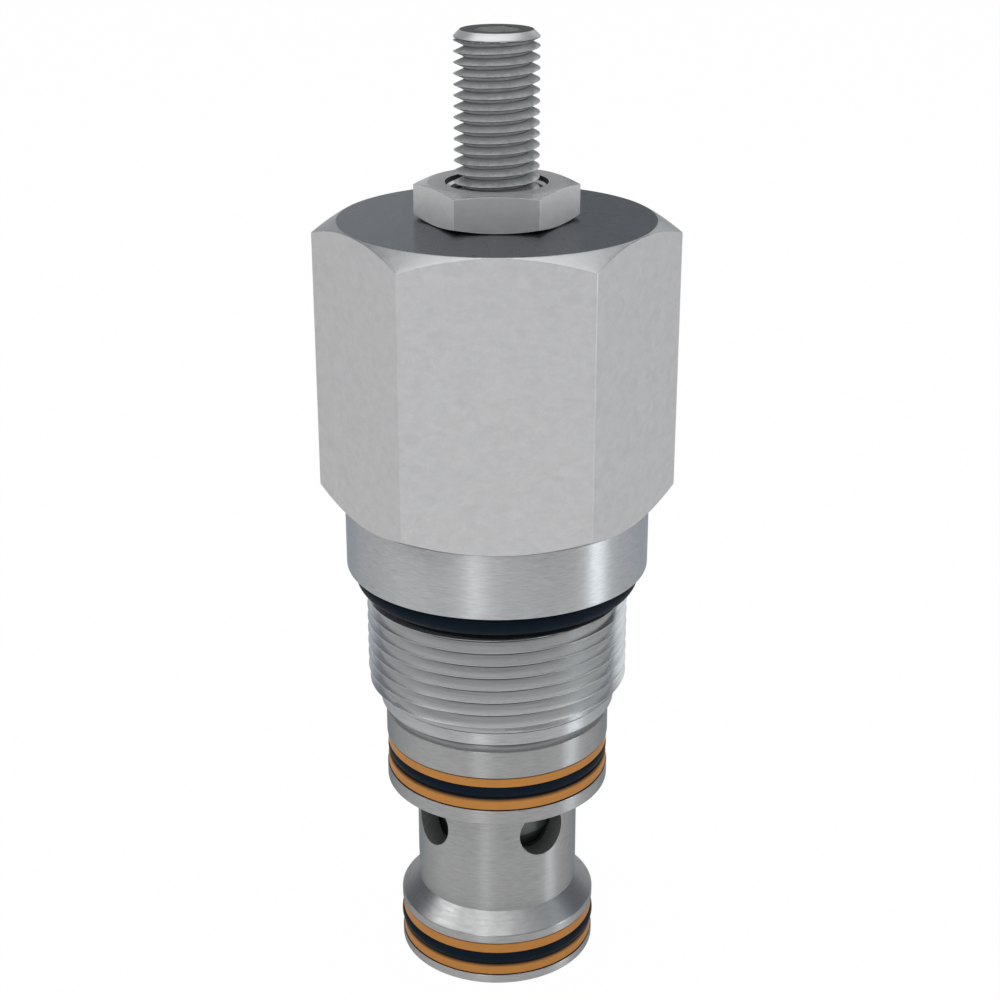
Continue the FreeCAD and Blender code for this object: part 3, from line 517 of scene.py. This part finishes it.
# Painted shade: dark steel for the cage's bore and the walls of its ports.
bore_painted_shade = turned_metal("bore_painted_shade", (0.10, 0.11, 0.105), (0.16, 0.17, 0.165), 0.55, 0.65, 0.3, 0.4)
nut_steel = grained_metal(
    "nut_steel", (0.64, 0.64, 0.64), (0.73, 0.73, 0.73), (0.67, 0.67, 0.665),
    0.42, 0.5, 0.35, 620.0, 5200.0,
)
nut_chamfer = turned_metal(
    "nut_chamfer", (0.54, 0.54, 0.54), (0.62, 0.62, 0.62),
    0.22, 0.3, 0.2, 0.7, depth=0.0000005,
)
# Painted shade: a darker copy of the nut steel for the nut's top face and three of its flats.
nut_painted_shade = grained_metal(
    "nut_steel_painted_shade", (0.375, 0.375, 0.38), (0.435, 0.435, 0.44), (0.40, 0.40, 0.40),
    0.42, 0.5, 0.4, 620.0, 5200.0,
)
# Painted shade: near black for the nut's countersunk mouth, the edge of its bore and its downward faces.
mouth_shade = grained_metal(
    "nut_mouth", (0.008, 0.008, 0.008), (0.02, 0.02, 0.02), (0.012, 0.012, 0.012),
    0.45, 0.55, 0.3, 420.0, 5200.0,
)
screw_steel = grained_metal(
    "screw_steel", (0.62, 0.635, 0.64), (0.98, 0.985, 0.99), (0.81, 0.83, 0.835),
    0.3, 0.4, 0.7, 1100.0, 4600.0, 0.00001, (0.15, 0.15, 0.15),
)
# Painted shade: a dark top face for the adjusting screw.
screw_top_painted_shade = grained_metal(
    "screw_top_painted_shade", (0.015, 0.017, 0.017), (0.10, 0.102, 0.10), (0.05, 0.055, 0.055),
    0.5, 0.6, 0.4, 2400.0, 9000.0,
)
socket_steel = grained_metal(
    "socket_steel", (0.36, 0.365, 0.365), (0.50, 0.505, 0.50), (0.42, 0.425, 0.425),
    0.4, 0.5, 0.3, 900.0, 5000.0,
)
screw_chamfer = turned_metal(
    "screw_chamfer", (0.43, 0.43, 0.43), (0.52, 0.52, 0.52),
    0.36, 0.44, 0.4, 0.6,
)
hardened = turned_metal(
    "hardened_steel", (0.13, 0.14, 0.135), (0.19, 0.20, 0.195),
    0.45, 0.55, 0.4, 0.7,
)
spring_wire = grained_metal(
    "spring_wire", (0.30, 0.31, 0.32), (0.40, 0.41, 0.42), (0.34, 0.35, 0.37),
    0.25, 0.35, 0.9, 500.0, 5000.0,
)
brass = grained_metal(
    "screen_brass", (0.52, 0.36, 0.13), (0.62, 0.45, 0.18), (0.55, 0.38, 0.16),
    0.28, 0.38, 0.9, 500.0, 5000.0,
)
rubber = moulded(
    "seal_rubber", (0.0033, 0.0085, 0.0165), (0.0048, 0.0115, 0.021),
    0.5, 0.6, 400.0, 0.000004, 0.06,
)
AMBER = ((0.52, 0.222, 0.05), (0.575, 0.248, 0.06), 0.5, 0.6, 300.0, 0.000003, 0.2)
amber = moulded("amber_backup", *AMBER)


def shade(material, colour, measure, start, end):
    """Paints shade into a material: fades it to another colour as its radius or slope goes from start to end.
    """
    tree = material.node_tree
    shader = next(node for node in tree.nodes if node.type == "BSDF_PRINCIPLED")
    base = shader.inputs["Base Color"].links[0].from_node
    range_node = tree.nodes.new("ShaderNodeMapRange")
    if measure == "slope":
        geometry = tree.nodes.new("ShaderNodeNewGeometry")
        split = tree.nodes.new("ShaderNodeSeparateXYZ")
        link(tree, geometry, "Normal", split, "Vector")
        link(tree, split, "Z", range_node, "Value")
    else:
        flat = plain_vector(tree, (1.0, 1.0, 0.0))
        length = tree.nodes.new("ShaderNodeVectorMath")
        length.operation = "LENGTH"
        link(tree, flat[0], flat[1], length, 0)
        link(tree, length, "Value", range_node, "Value")
    range_node.inputs["From Min"].default_value = start
    range_node.inputs["From Max"].default_value = end
    mixed = blend_colours(tree, range_node, base, colour)
    tree.links.new(mixed.outputs[2], shader.inputs["Base Color"])


# Painted shade: the rounded tops of the lower back-up rings darken under the O-rings above them, the neck
# fillet darkens under the band, and the adjusting screw's thread darkens towards its crest on its downward
# flanks and towards its root on its upper flanks.
amber_shaded = moulded("amber_shaded", *AMBER)
shade(amber_shaded, (0.012, 0.006, 0.003), "slope", 0.1, 0.75)
shade(neck_painted_light_and_shade, (0.10, 0.10, 0.102), "slope", 0.8, 0.25)
shade(under_screw_painted_shade, (0.07, 0.072, 0.073), "radius", 0.0044, 0.005)
shade(screw_steel, (0.60, 0.61, 0.615), "radius", 0.0046, 0.0039)


def finish_node(name, material):
    """Gives a carried over CAD node its material."""
    for material_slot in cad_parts[name].material_slots:
        material_slot.link = "OBJECT"
        material_slot.material = material


for node in ("collar_o_ring", "cage_o_ring", "pilot_seat_o_ring", "adjuster_o_ring"):
    finish_node(node, rubber)
finish_node("adjuster_backup_ring", amber)
for node in ("main_poppet", "orifice_plug", "pilot_seat", "pilot_poppet", "adjuster_piston"):
    finish_node(node, hardened)
for node in ("screen_ring", "spring_shim"):
    finish_node(node, spring_wire)
finish_node("orifice_screen", brass)


# Hex body


def make_body():
    """Wrench hexagon, collar, cavity thread and band, with the bores inside."""
    top = 98.68
    hexagon_low = 63.4
    collar_low = 55.22
    thread_high = 51.9
    thread_low = 38.22
    band_high = 38.08
    run_out = 51.55
    angles = corner_angles(288, HEXAGON_TURN, 0.33)
    points = []
    faces = []
    mouth = ((7.0, 86.0), (5.05, 86.0), (5.05, 98.08), (5.65, top), (12.0, top))
    rows = [ring(angles, r, z) for r, z in mouth]
    rows += hexagon_rows(angles, 38.1, 0.25, 18.94, hexagon_low, top, 0.12)
    collar = rounded(
        [
            (18.886, hexagon_low, 0.0),
            (18.886, collar_low, 0.2),
            (14.87, collar_low, 0.1),
            (14.87, thread_high, 0.1),
            (16.0, thread_high, 0.0),
        ],
        closed=False,
    )
    rows += [ring(angles, r, z) for r, z in collar[:-1]]

    def envelope(r, z):
        return min(r, 16.0 + (thread_high - z), 15.0 + max(0.0, z - 38.1))

    thread = Thread(16.5, 15.1, 1.665, 44.75, 0.02, 0.05, envelope)
    for z in (thread_high, 51.72, run_out):
        rows.append(ring(angles, lambda angle, z=z: thread.radius(angle, z), z))
    join_rows(points, faces, rows)
    thread.patch(points, faces, angles, thread_low, run_out)
    line = [ring(angles, lambda angle: thread.radius(angle, thread_low), thread_low)]
    line += [ring(angles, r, z) for r, z in ((14.86, 38.2), (14.86, 38.11), (15.0, band_high))]
    band = rounded(
        [
            (15.0, band_high, 0.0),
            (15.0, 36.47, 0.18),
            (12.35, 36.47, 0.15),
            (12.35, 41.02, 0.0),
            (12.05, 41.02, 0.0),
            (12.05, 46.15, 0.0),
            (12.5, 46.6, 0.0),
            (12.5, 47.8, 0.0),
            (10.05, 47.8, 0.0),
            (10.05, 53.0, 0.0),
            (7.6, 53.0, 0.0),
            (7.6, 61.6, 0.0),
            (7.0, 62.2, 0.0),
            (7.0, 86.0, 0.0),
        ],
        closed=False,
    )
    join_rows(points, faces, line + [ring(angles, r, z) for r, z in band[1:]])
    piece = bare_object("hex_body_shell", points, faces, "housing", ["hex_body"])

    def choose(r, z, normal):
        if z > 98.6 and normal.z > 0.99:
            return 1
        if z > 63.35:
            return 4 if 0.3 < abs(normal.z) < 0.99 else 0
        if z > run_out + 0.01 and r < 17.5:
            return 5
        if band_high < z < thread_low and r > 14.0:
            return 5
        if z > 51.85 or z < thread_low:
            return 2
        if z < 39.3:
            return 7 if normal.z < -0.3 or r < 15.3 else 3
        if abs(normal.z) < 0.3 and r < 15.3:
            return 5
        return 6 if normal.z < -0.3 else 3

    materials = [zinc, blue_zinc_painted_shade, turned_zinc, thread_steel]
    materials += [zinc_chamfer_painted_shade, groove_shade, under_thread_painted_shade, thread_end]
    dress(piece, materials, choose)


make_body()


# Adjusting screw and lock nut


def make_screw():
    """Adjusting screw with its thread, chamfered top and hexagon socket."""
    angles = even_angles(144, SOCKET_TURN)
    points = []
    faces = []

    def socket(grow):
        return lambda angle: hexagon_radius(angle, 5.0 + grow, SOCKET_TURN, 0.05)

    def envelope(r, z):
        stub = 5.0 if z > 119.66 else 5.0 - (119.66 - z) * 2.0
        return min(max(r, stub), 4.25 + (120.5 - z), 5.0)

    thread = Thread(5.0, 3.83, 1.25, 118.325, 0.006, 0.12, envelope)
    high = 119.68
    low = 84.5
    start = [high - 0.0375 * index for index in range(1, 17)]
    rows = [
        [(0.0, 0.0, 114.0)],
        ring(angles, socket(0.0), 115.0),
        ring(angles, socket(0.0), 120.3),
        ring(angles, socket(0.0), 120.4),
        ring(angles, socket(0.25), 120.5),
        ring(angles, 3.6, 120.5),
        ring(angles, 4.18, 120.5),
        ring(angles, 4.25, 120.48),
        ring(angles, 4.30, 120.44),
        ring(angles, 4.60, 120.15),
        ring(angles, 4.93, 119.82),
        ring(angles, 4.985, 119.74),
        ring(angles, 5.0, high),
    ]
    for z in start:
        rows.append(ring(angles, lambda angle, z=z: thread.radius(angle, z), z))
    join_rows(points, faces, rows)
    thread.patch(points, faces, angles, low, start[-1])
    rows = [
        ring(angles, lambda angle: thread.radius(angle, low), low),
        ring(angles, 3.9, 84.1),
        ring(angles, 3.5, 83.7),
        ring(angles, 3.5, 80.7),
        ring(angles, 3.3, 80.5),
        [(0.0, 0.0, 80.5)],
    ]
    join_rows(points, faces, rows)
    piece = bare_object("threaded_screw", points, faces, "screw", ["adjusting_screw"])

    def choose(r, z, normal):
        if z > 119.66 and r > 4.22 and normal.z > 0.1:
            return 1
        if z > 120.4:
            return 2
        if r < 3.1 and z > 114.0:
            return 3
        if abs(normal.z) < 0.3 and r < 4.0:
            return 5
        return 4 if normal.z < 0.3 and z < 119.7 else 0

    dress(piece, [screw_steel, screw_chamfer, screw_top_painted_shade, socket_steel, under_screw_painted_shade, root_screw_painted_shade], choose)


def make_nut():
    """Thin lock nut with chamfered corners and countersunk mouths."""
    angles = corner_angles(144, HEXAGON_TURN, 0.45)
    points = []
    faces = []
    low = 98.68
    high = 103.06
    bore = (5.05, 99.23)
    mouth = (
        (5.05, 102.0),
        (5.5, 102.27),
        (5.9, 102.5),
        (5.96, 102.56),
        (6.1, 102.98),
        (6.13, 103.04),
        (6.2, high),
    )
    rows = [ring(angles, r, z) for r, z in (bore, *mouth)]
    rows += hexagon_rows(angles, 17.0, 0.08, 8.15, low, high, 0.04, (13, 17))
    rows += [ring(angles, r, z) for r, z in ((5.6, low), bore)]
    join_rows(points, faces, rows)
    piece = bare_object("hexagon_nut", points, faces, "nut", ["lock_nut"])

    def choose(r, z, normal):
        """Painted shade: the top face and every other flat, the one that faces the camera among them, take
        the darker steel; the mouth and the underside take the near black one.
        """
        if (5.92 < r < 6.12 and z > 102.5) or r < 5.3 or normal.z < -0.2:
            return 1
        if r < 5.92 or (r > 8.12 and 0.5 < normal.z < 0.99):
            return 3
        if normal.z > 0.99:
            return 2
        side = math.degrees(math.atan2(normal.y, normal.x)) - (HEXAGON_TURN - 90.0)
        return 2 if abs(normal.z) < 0.1 and abs((side + 60.0) % 120.0 - 60.0) < 20.0 else 0

    dress(piece, [nut_steel, mouth_shade, nut_painted_shade, nut_chamfer], choose)


make_screw()
make_nut()


# Cage with its side ports


def make_cage():
    """Ported cage: turned outside and bore, with four drilled ports."""
    port = 3.3
    middle = 20.42
    waist = 10.48
    bore = 8.0
    low = 9.57
    seat = 16.0
    high = 24.87
    per_side = 48
    tall = 20
    angles = even_angles(4 * per_side, 45.0)
    points = []
    faces = []

    def frame_points(bottom, top):
        """Points round a quarter's rectangle as (angle, level), anticlockwise from its lower right corner."""
        result = []
        for index in range(tall):
            result.append((45.0, bottom + (top - bottom) * index / tall))
        for index in range(per_side):
            result.append((45.0 - 90.0 * index / per_side, top))
        for index in range(tall):
            result.append((-45.0, top - (top - bottom) * index / tall))
        for index in range(per_side):
            result.append((-45.0 + 90.0 * index / per_side, bottom))
        return result

    def on_wall(y, z, radius, sink=0.0):
        """A point of a cylinder from its offset across the port's axis and its level."""
        return (math.sqrt(radius**2 - y**2) - sink, y, z)

    def turn(point, quarter):
        """A point turned round the axis by quarter turns."""
        c = math.cos(math.radians(90 * quarter))
        s = math.sin(math.radians(90 * quarter))
        return (point[0] * c - point[1] * s, point[0] * s + point[1] * c, point[2])

    def quarter_rows(bottom, top, radius, inner):
        """Rows from a port's edge out to the rectangle, on one cylinder."""
        border = frame_points(bottom, top)
        rows = []
        ease = 0.05
        headings = []
        for angle, z in border:
            across = radius * math.sin(math.radians(angle))
            headings.append(math.atan2(z - middle, across))
        sign = 1.0 if inner else -1.0
        for grow, sink in ((0.0, ease), (0.3 * ease, 0.3 * ease), (ease, 0.0), (2.5 * ease, 0.0)):
            row = []
            for heading in headings:
                y = (port + grow) * math.cos(heading)
                z = middle + (port + grow) * math.sin(heading)
                row.append(on_wall(y, z, radius, sink * -sign))
            rows.append(row)
        for share in (0.12, 0.3, 0.55, 0.8, 1.0):
            row = []
            for (angle, z), heading in zip(border, headings):
                start_y = (port + 2.5 * ease) * math.cos(heading)
                start_z = middle + (port + 2.5 * ease) * math.sin(heading)
                start_angle = math.degrees(math.asin(start_y / radius))
                mid = math.radians(start_angle + (angle - start_angle) * share)
                mid_z = start_z + (z - start_z) * share
                row.append((radius * math.cos(mid), radius * math.sin(mid), mid_z))
            rows.append(row)
        return rows

    outer = quarter_rows(low, high, waist, False)
    inner = quarter_rows(seat, high, bore, True)
    for quarter in range(4):
        rows = [[turn(point, quarter) for point in row] for row in reversed(outer)]
        rows += [[turn(point, quarter) for point in row] for row in inner]
        join_rows(points, faces, rows)
    fillet = []
    for index in range(9):
        bend = math.radians(11.25 * index)
        fillet.append((14.04 - 0.64 * math.sin(bend), 35.75 - 0.64 * math.cos(bend), 0.0))
    upper = rounded(
        [
            (waist, high, 0.0),
            (14.36, high, 0.12),
            (14.36, 26.79, 0.07),
            (11.85, 26.79, 0.1),
            (11.85, 31.46, 0.1),
            (14.36, 31.46, 0.07),
            (14.36, 35.11, 0.1),
            *fillet,
            (13.4, 36.47, 0.0),
            (12.3, 36.47, 0.0),
            (12.3, 37.47, 0.0),
            (10.75, 37.47, 0.0),
            (10.75, 39.87, 0.0),
            (12.3, 39.87, 0.0),
            (12.3, 40.97, 0.0),
            (12.0, 40.97, 0.0),
            (12.0, 46.4, 0.0),
            (11.4, 47.0, 0.0),
            (bore, 47.0, 0.1),
            (bore, high, 0.0),
        ],
        closed=False,
    )
    join_rows(points, faces, [ring(angles, r, z) for r, z in upper])
    lower = rounded(
        [
            (bore, seat, 0.0),
            (6.0, seat, 0.08),
            (6.0, 1.0, 0.1),
            (7.0, 0.0, 0.1),
            (12.78, 0.0, 0.25),
            (12.78, 1.24, 0.07),
            (10.45, 1.24, 0.1),
            (10.45, 6.13, 0.1),
            (12.78, 6.13, 0.07),
            (12.78, 7.27, 0.1),
            (waist, low, 0.0),
        ],
        closed=False,
    )
    join_rows(points, faces, [ring(angles, r, z) for r, z in lower])
    piece = bare_object("ported_cage", points, faces, "housing", ["cage"])

    def choose(r, z, normal):
        if 26.78 < z < 31.47 and r < 14.3 or 1.23 < z < 6.14 and 10.0 < r < 12.72:
            return 3
        if 35.1 < z < 36.6 and 13.3 < r < 14.33:
            return 2
        if 7.3 < z < 9.6 and r > 10.5:
            return 4
        return 1 if 6.5 < r < waist - 0.06 and 1.5 < z < 46.0 else 0

    dress(piece, [cage_steel, bore_painted_shade, neck_painted_light_and_shade, groove_shade, cone_steel], choose)


make_cage()


def make_seal(name, level, inner, section):
    """A pack's O-ring."""
    half = section / 2
    corners = []
    for index in range(40):
        bend = math.radians(9.0 * index)
        corners.append((inner + half * (1 + math.cos(bend)), level + half * math.sin(bend), 0.0))
    piece = turned(name + "_rubber", corners, even_angles(192, 45.0), "housing", [name])
    piece.data.materials.append(rubber)


make_seal("upper_o_ring", 29.33, 11.87, 2.4)
make_seal("nose_o_ring", 3.78, 10.47, 2.4)


def make_backup_ring(name, low, high, inner, outer, round_top):
    """An amber back-up ring, as one of its edges shows under the O-ring above it."""
    corners = [(inner, low, 0.0), (outer, low, 0.06)]
    if round_top:
        for index in range(9):
            bend = math.radians(11.25 * index)
            corners.append((outer - 0.6 + 0.6 * math.cos(bend), high - 0.6 + 0.6 * math.sin(bend), 0.0))
        corners.append((outer - 0.9, high, 0.0))
    else:
        corners.append((outer, high, 0.06))
    corners.append((inner, high, 0.0))
    piece = turned(name + "_amber", corners, even_angles(192, 45.0), "housing", [name])
    piece.data.materials.append(amber_shaded if round_top else amber)


for name, low, high, inner, outer, round_top in (
    ("upper_backup_ring_top", 30.12, 31.27, 11.87, 14.24, False),
    ("upper_backup_ring_bottom", 26.92, 28.52, 11.87, 14.24, True),
    ("nose_backup_ring_top", 4.64, 5.94, 10.47, 12.66, False),
    ("nose_backup_ring_bottom", 1.36, 2.95, 10.47, 12.66, True),
):
    make_backup_ring(name, low, high, inner, outer, round_top)


# Springs inside


class Coil:
    """A spring of round wire with ground ends, between two levels."""

    def __init__(self, node, low, high, radius, wire, turns):
        self.node = node
        self.low = low
        self.high = high
        self.radius = radius
        self.wire = wire
        self.turns = turns

    def centre(self, turn):
        """The level of the wire's centre after a number of turns."""
        return self.low + self.wire / 4 + (self.high - self.low - self.wire / 2) * turn / self.turns

    def stretch(self, name, first, last, bodies, start, end):
        """The wire from one turn to another, as a piece of its own."""
        points = []
        faces = []
        sides = 16
        steps = round(40 * (last - first))
        for index in range(steps + 1):
            turn = first + (last - first) * index / steps
            bend = math.radians(360.0 * turn)
            for side in range(sides):
                lean = math.radians(360.0 * side / sides)
                reach = self.radius + self.wire / 2 * math.cos(lean)
                level = self.centre(turn) + self.wire / 2 * math.sin(lean)
                ground = min(max(level, self.low), self.high)
                points.append((reach * math.cos(bend), reach * math.sin(bend), ground))
        for row in range(0, steps * sides, sides):
            for side in range(sides):
                along = (side + 1) % sides
                faces.append((row + side, row + along, row + sides + along, row + sides + side))
        faces.append(tuple(range(sides)))
        faces.append(tuple(range(steps * sides, (steps + 1) * sides)))
        piece = bare_object(name, points, faces, None, [self.node])
        piece.data.materials.append(spring_wire)
        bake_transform(piece)


def make_springs():
    """The main spring, and the setting spring in two lengths."""
    main = Coil("main_spring", 25.03, 47.0, 4.75, 1.3, 7.0)
    main.stretch("main_coil", 0.0, main.turns, ("poppet", "housing"), main.low, main.high)
    setting = Coil("pilot_spring", 61.338, 76.9, 4.35, 1.4, 5.5)
    low = setting.centre(1.0) - setting.wire / 2
    high = setting.centre(1.0) + setting.wire / 2
    setting.stretch("setting_coil_low", 0.0, 1.0, ("pilot", "housing"), setting.low, low)
    setting.stretch("setting_coil_high", 1.0, setting.turns, ("housing", "adjuster"), high, setting.high)


make_springs()


# Floor, surroundings, lamps and camera


def direction(turn, elevation):
    """A unit vector at an angle to the camera's side, positive to the right, and an elevation."""
    azimuth = math.radians(CAMERA_TURN + turn)
    rise = math.radians(elevation)
    return Vector((math.cos(azimuth) * math.cos(rise), math.sin(azimuth) * math.cos(rise), math.sin(rise)))


def add_softbox(name, turn, elevation, distance, width, height, radiance, colour=(1.0, 1.0, 1.0)):
    """A rectangular lamp that faces the valve's middle."""
    data = bpy.data.lights.new(name, "AREA")
    data.shape = "RECTANGLE"
    data.size = width
    data.size_y = height
    data.energy = radiance * math.pi * width * height
    data.color = colour
    lamp = bpy.data.objects.new(name, data)
    bpy.context.scene.collection.objects.link(lamp)
    centre = Vector((0.0, 0.0, 0.06))
    lamp.location = centre + direction(turn, elevation) * distance
    lamp.rotation_euler = (centre - lamp.location).to_track_quat("-Z", "Y").to_euler()
    return lamp


def add_floor():
    """A white floor that keeps a faint shadow."""
    mesh = bpy.data.meshes.new("floor")
    half = 6.0
    level = -0.00002
    corners = [(-half, -half, level), (half, -half, level), (half, half, level), (-half, half, level)]
    mesh.from_pydata(corners, [], [(0, 1, 2, 3)])
    floor = bpy.data.objects.new("floor", mesh)
    bpy.context.scene.collection.objects.link(floor)
    material = bpy.data.materials.new("floor_white")
    material.use_nodes = True
    tree = material.node_tree
    tree.nodes.clear()
    output = tree.nodes.new("ShaderNodeOutputMaterial")
    matt = tree.nodes.new("ShaderNodeBsdfDiffuse")
    matt.inputs["Color"].default_value = (0.86, 0.86, 0.86, 1.0)
    glow = tree.nodes.new("ShaderNodeEmission")
    glow.inputs["Color"].default_value = (1.0, 1.0, 1.0, 1.0)
    glow.inputs["Strength"].default_value = 1.0
    factor = seen_directly(tree)
    share = tree.nodes.new("ShaderNodeMath")
    share.operation = "MULTIPLY"
    tree.links.new(factor.outputs["Value"], share.inputs[0])
    share.inputs[1].default_value = 0.985
    mix = tree.nodes.new("ShaderNodeMixShader")
    tree.links.new(share.outputs["Value"], mix.inputs["Fac"])
    tree.links.new(matt.outputs["BSDF"], mix.inputs[1])
    tree.links.new(glow.outputs["Emission"], mix.inputs[2])
    tree.links.new(mix.outputs["Shader"], output.inputs["Surface"])
    mesh.materials.append(material)


def seen_directly(tree):
    """1 for camera, glossy and transmission rays, 0 for the others."""
    path = tree.nodes.new("ShaderNodeLightPath")
    first = tree.nodes.new("ShaderNodeMath")
    first.operation = "MAXIMUM"
    link(tree, path, "Is Camera Ray", first, 0)
    link(tree, path, "Is Glossy Ray", first, 1)
    second = tree.nodes.new("ShaderNodeMath")
    second.operation = "MAXIMUM"
    link(tree, first, "Value", second, 0)
    link(tree, path, "Is Transmission Ray", second, 1)
    return second


def add_world():
    """White to camera, glossy and transmission rays, and a plain level for the rest."""
    world = bpy.data.worlds.new("studio")
    bpy.context.scene.world = world
    world.use_nodes = True
    tree = world.node_tree
    tree.nodes.clear()
    output = tree.nodes.new("ShaderNodeOutputWorld")
    background = tree.nodes.new("ShaderNodeBackground")
    link(tree, background, "Background", output, "Surface")
    factor = seen_directly(tree)
    level = tree.nodes.new("ShaderNodeMapRange")
    link(tree, factor, "Value", level, "Value")
    level.inputs["To Min"].default_value = 0.46
    level.inputs["To Max"].default_value = 1.0
    link(tree, level, "Result", background, "Strength")
    background.inputs["Color"].default_value = (1.0, 1.0, 1.0, 1.0)


def add_card(name, turn, elevation, distance, width, height, radiance, colour=(1.0, 1.0, 1.0)):
    """A lamp that only shows in reflections."""
    lamp = add_softbox(name, turn, elevation, distance, width, height, radiance, colour)
    lamp.visible_diffuse = False


def glow_material(name, colour):
    """A plain glow for the curtain."""
    material = bpy.data.materials.new(name)
    material.use_nodes = True
    tree = material.node_tree
    tree.nodes.clear()
    output = tree.nodes.new("ShaderNodeOutputMaterial")
    glow = tree.nodes.new("ShaderNodeEmission")
    glow.inputs["Color"].default_value = (*colour, 1.0)
    link(tree, glow, "Emission", output, "Surface")
    return material


CURTAIN = {
    "curtain_dark": (0.15, 0.165, 0.19),
    "curtain_left_rim": (0.55, 0.58, 0.61),
    "curtain_right_rim": (1.0, 1.04, 1.07),
    "curtain_front": (1.35, 1.35, 1.35),
    "curtain_front_left": (2.8, 2.8, 2.8),
    "curtain_back": (0.35, 0.36, 0.37),
    "curtain_right": (0.5, 0.52, 0.54),
}


def curtain_zone(turn, rise):
    """The name of the curtain's glow at an angle to the camera's side and an elevation."""
    if 139.0 < turn < 147.0 and 12.0 < rise < 40.0:
        return "curtain_right_rim"
    if 146.0 < abs(turn) < 162.0 and rise > 12.0:
        return "curtain_left_rim" if turn < 0.0 else "curtain_right_rim"
    if -58.0 < turn < 22.0 and rise > 39.0:
        return "curtain_front"
    if -102.0 < turn < -58.0 and rise > 36.0:
        return "curtain_front_left"
    if abs(turn) > 162.0 and rise > 20.0:
        return "curtain_back"
    if 50.0 < turn < 110.0 and rise > 30.0:
        return "curtain_right"
    if turn < -152.0 and rise < 16.0:
        return "curtain_left_rim"
    return "curtain_dark"


def add_curtain():
    """A curtain round the studio that only reflections show: dark, with lighter strips and fields."""
    middle = 60.0
    radius = 2500.0
    points = []
    faces = []
    rows = []
    for elevation in (1, 8, 16, 24, 32, 40, 48, 56):
        rise = math.radians(elevation)
        rows.append(ring(even_angles(96, 0.0), radius * math.cos(rise), middle + radius * math.sin(rise)))
    join_rows(points, faces, rows)
    mesh = bpy.data.meshes.new("curtain")
    mesh.from_pydata([(x * MM, y * MM, z * MM) for x, y, z in points], [], faces)
    curtain = bpy.data.objects.new("curtain", mesh)
    bpy.context.scene.collection.objects.link(curtain)
    for name, colour in CURTAIN.items():
        mesh.materials.append(glow_material(name, colour))
    names = list(CURTAIN)
    for face in mesh.polygons:
        x, y, z = face.center / MM
        turn = (math.degrees(math.atan2(y, x)) - CAMERA_TURN + 180.0) % 360.0 - 180.0
        rise = math.degrees(math.atan2(z - middle, math.hypot(x, y)))
        face.material_index = names.index(curtain_zone(turn, rise))
    curtain.visible_camera = False
    curtain.visible_diffuse = False
    curtain.visible_transmission = False
    curtain.visible_shadow = False


def add_camera():
    """The photograph's view: 21.6 degrees down on a hexagon flat."""
    data = bpy.data.cameras.new("camera")
    data.sensor_width = 36.0
    data.lens = 67.89
    data.clip_start = 0.01
    camera = bpy.data.objects.new("camera", data)
    bpy.context.scene.collection.objects.link(camera)
    right = direction(90.0, 0.0)
    aside = right * 0.000374
    camera.location = direction(0.0, 0.0) * 0.218834 + aside + Vector((0.0, 0.0, 0.149503))
    target = aside + Vector((0.0, 0.0, 0.06293))
    camera.rotation_euler = (target - camera.location).to_track_quat("-Z", "Y").to_euler()
    bpy.context.scene.camera = camera


add_world()
add_floor()
add_curtain()
add_softbox("overhead", 0.0, 88.0, 0.9, 1.0, 1.0, 1.35)
fill = add_softbox("front_fill", -10.0, 20.0, 1.0, 0.4, 0.4, 3.6)
fill.visible_glossy = False
add_card("key_card", -16.0, 22.0, 1.0, 0.18, 0.5, 5.2)
add_card("right_card", 76.0, 4.0, 0.7, 0.13, 0.2, 11.0, (0.88, 0.96, 1.0))
add_card("far_card", 133.0, 55.0, 0.7, 0.13, 0.16, 1.2)
add_camera()

bpy.context.scene.view_settings.view_transform = "Standard"
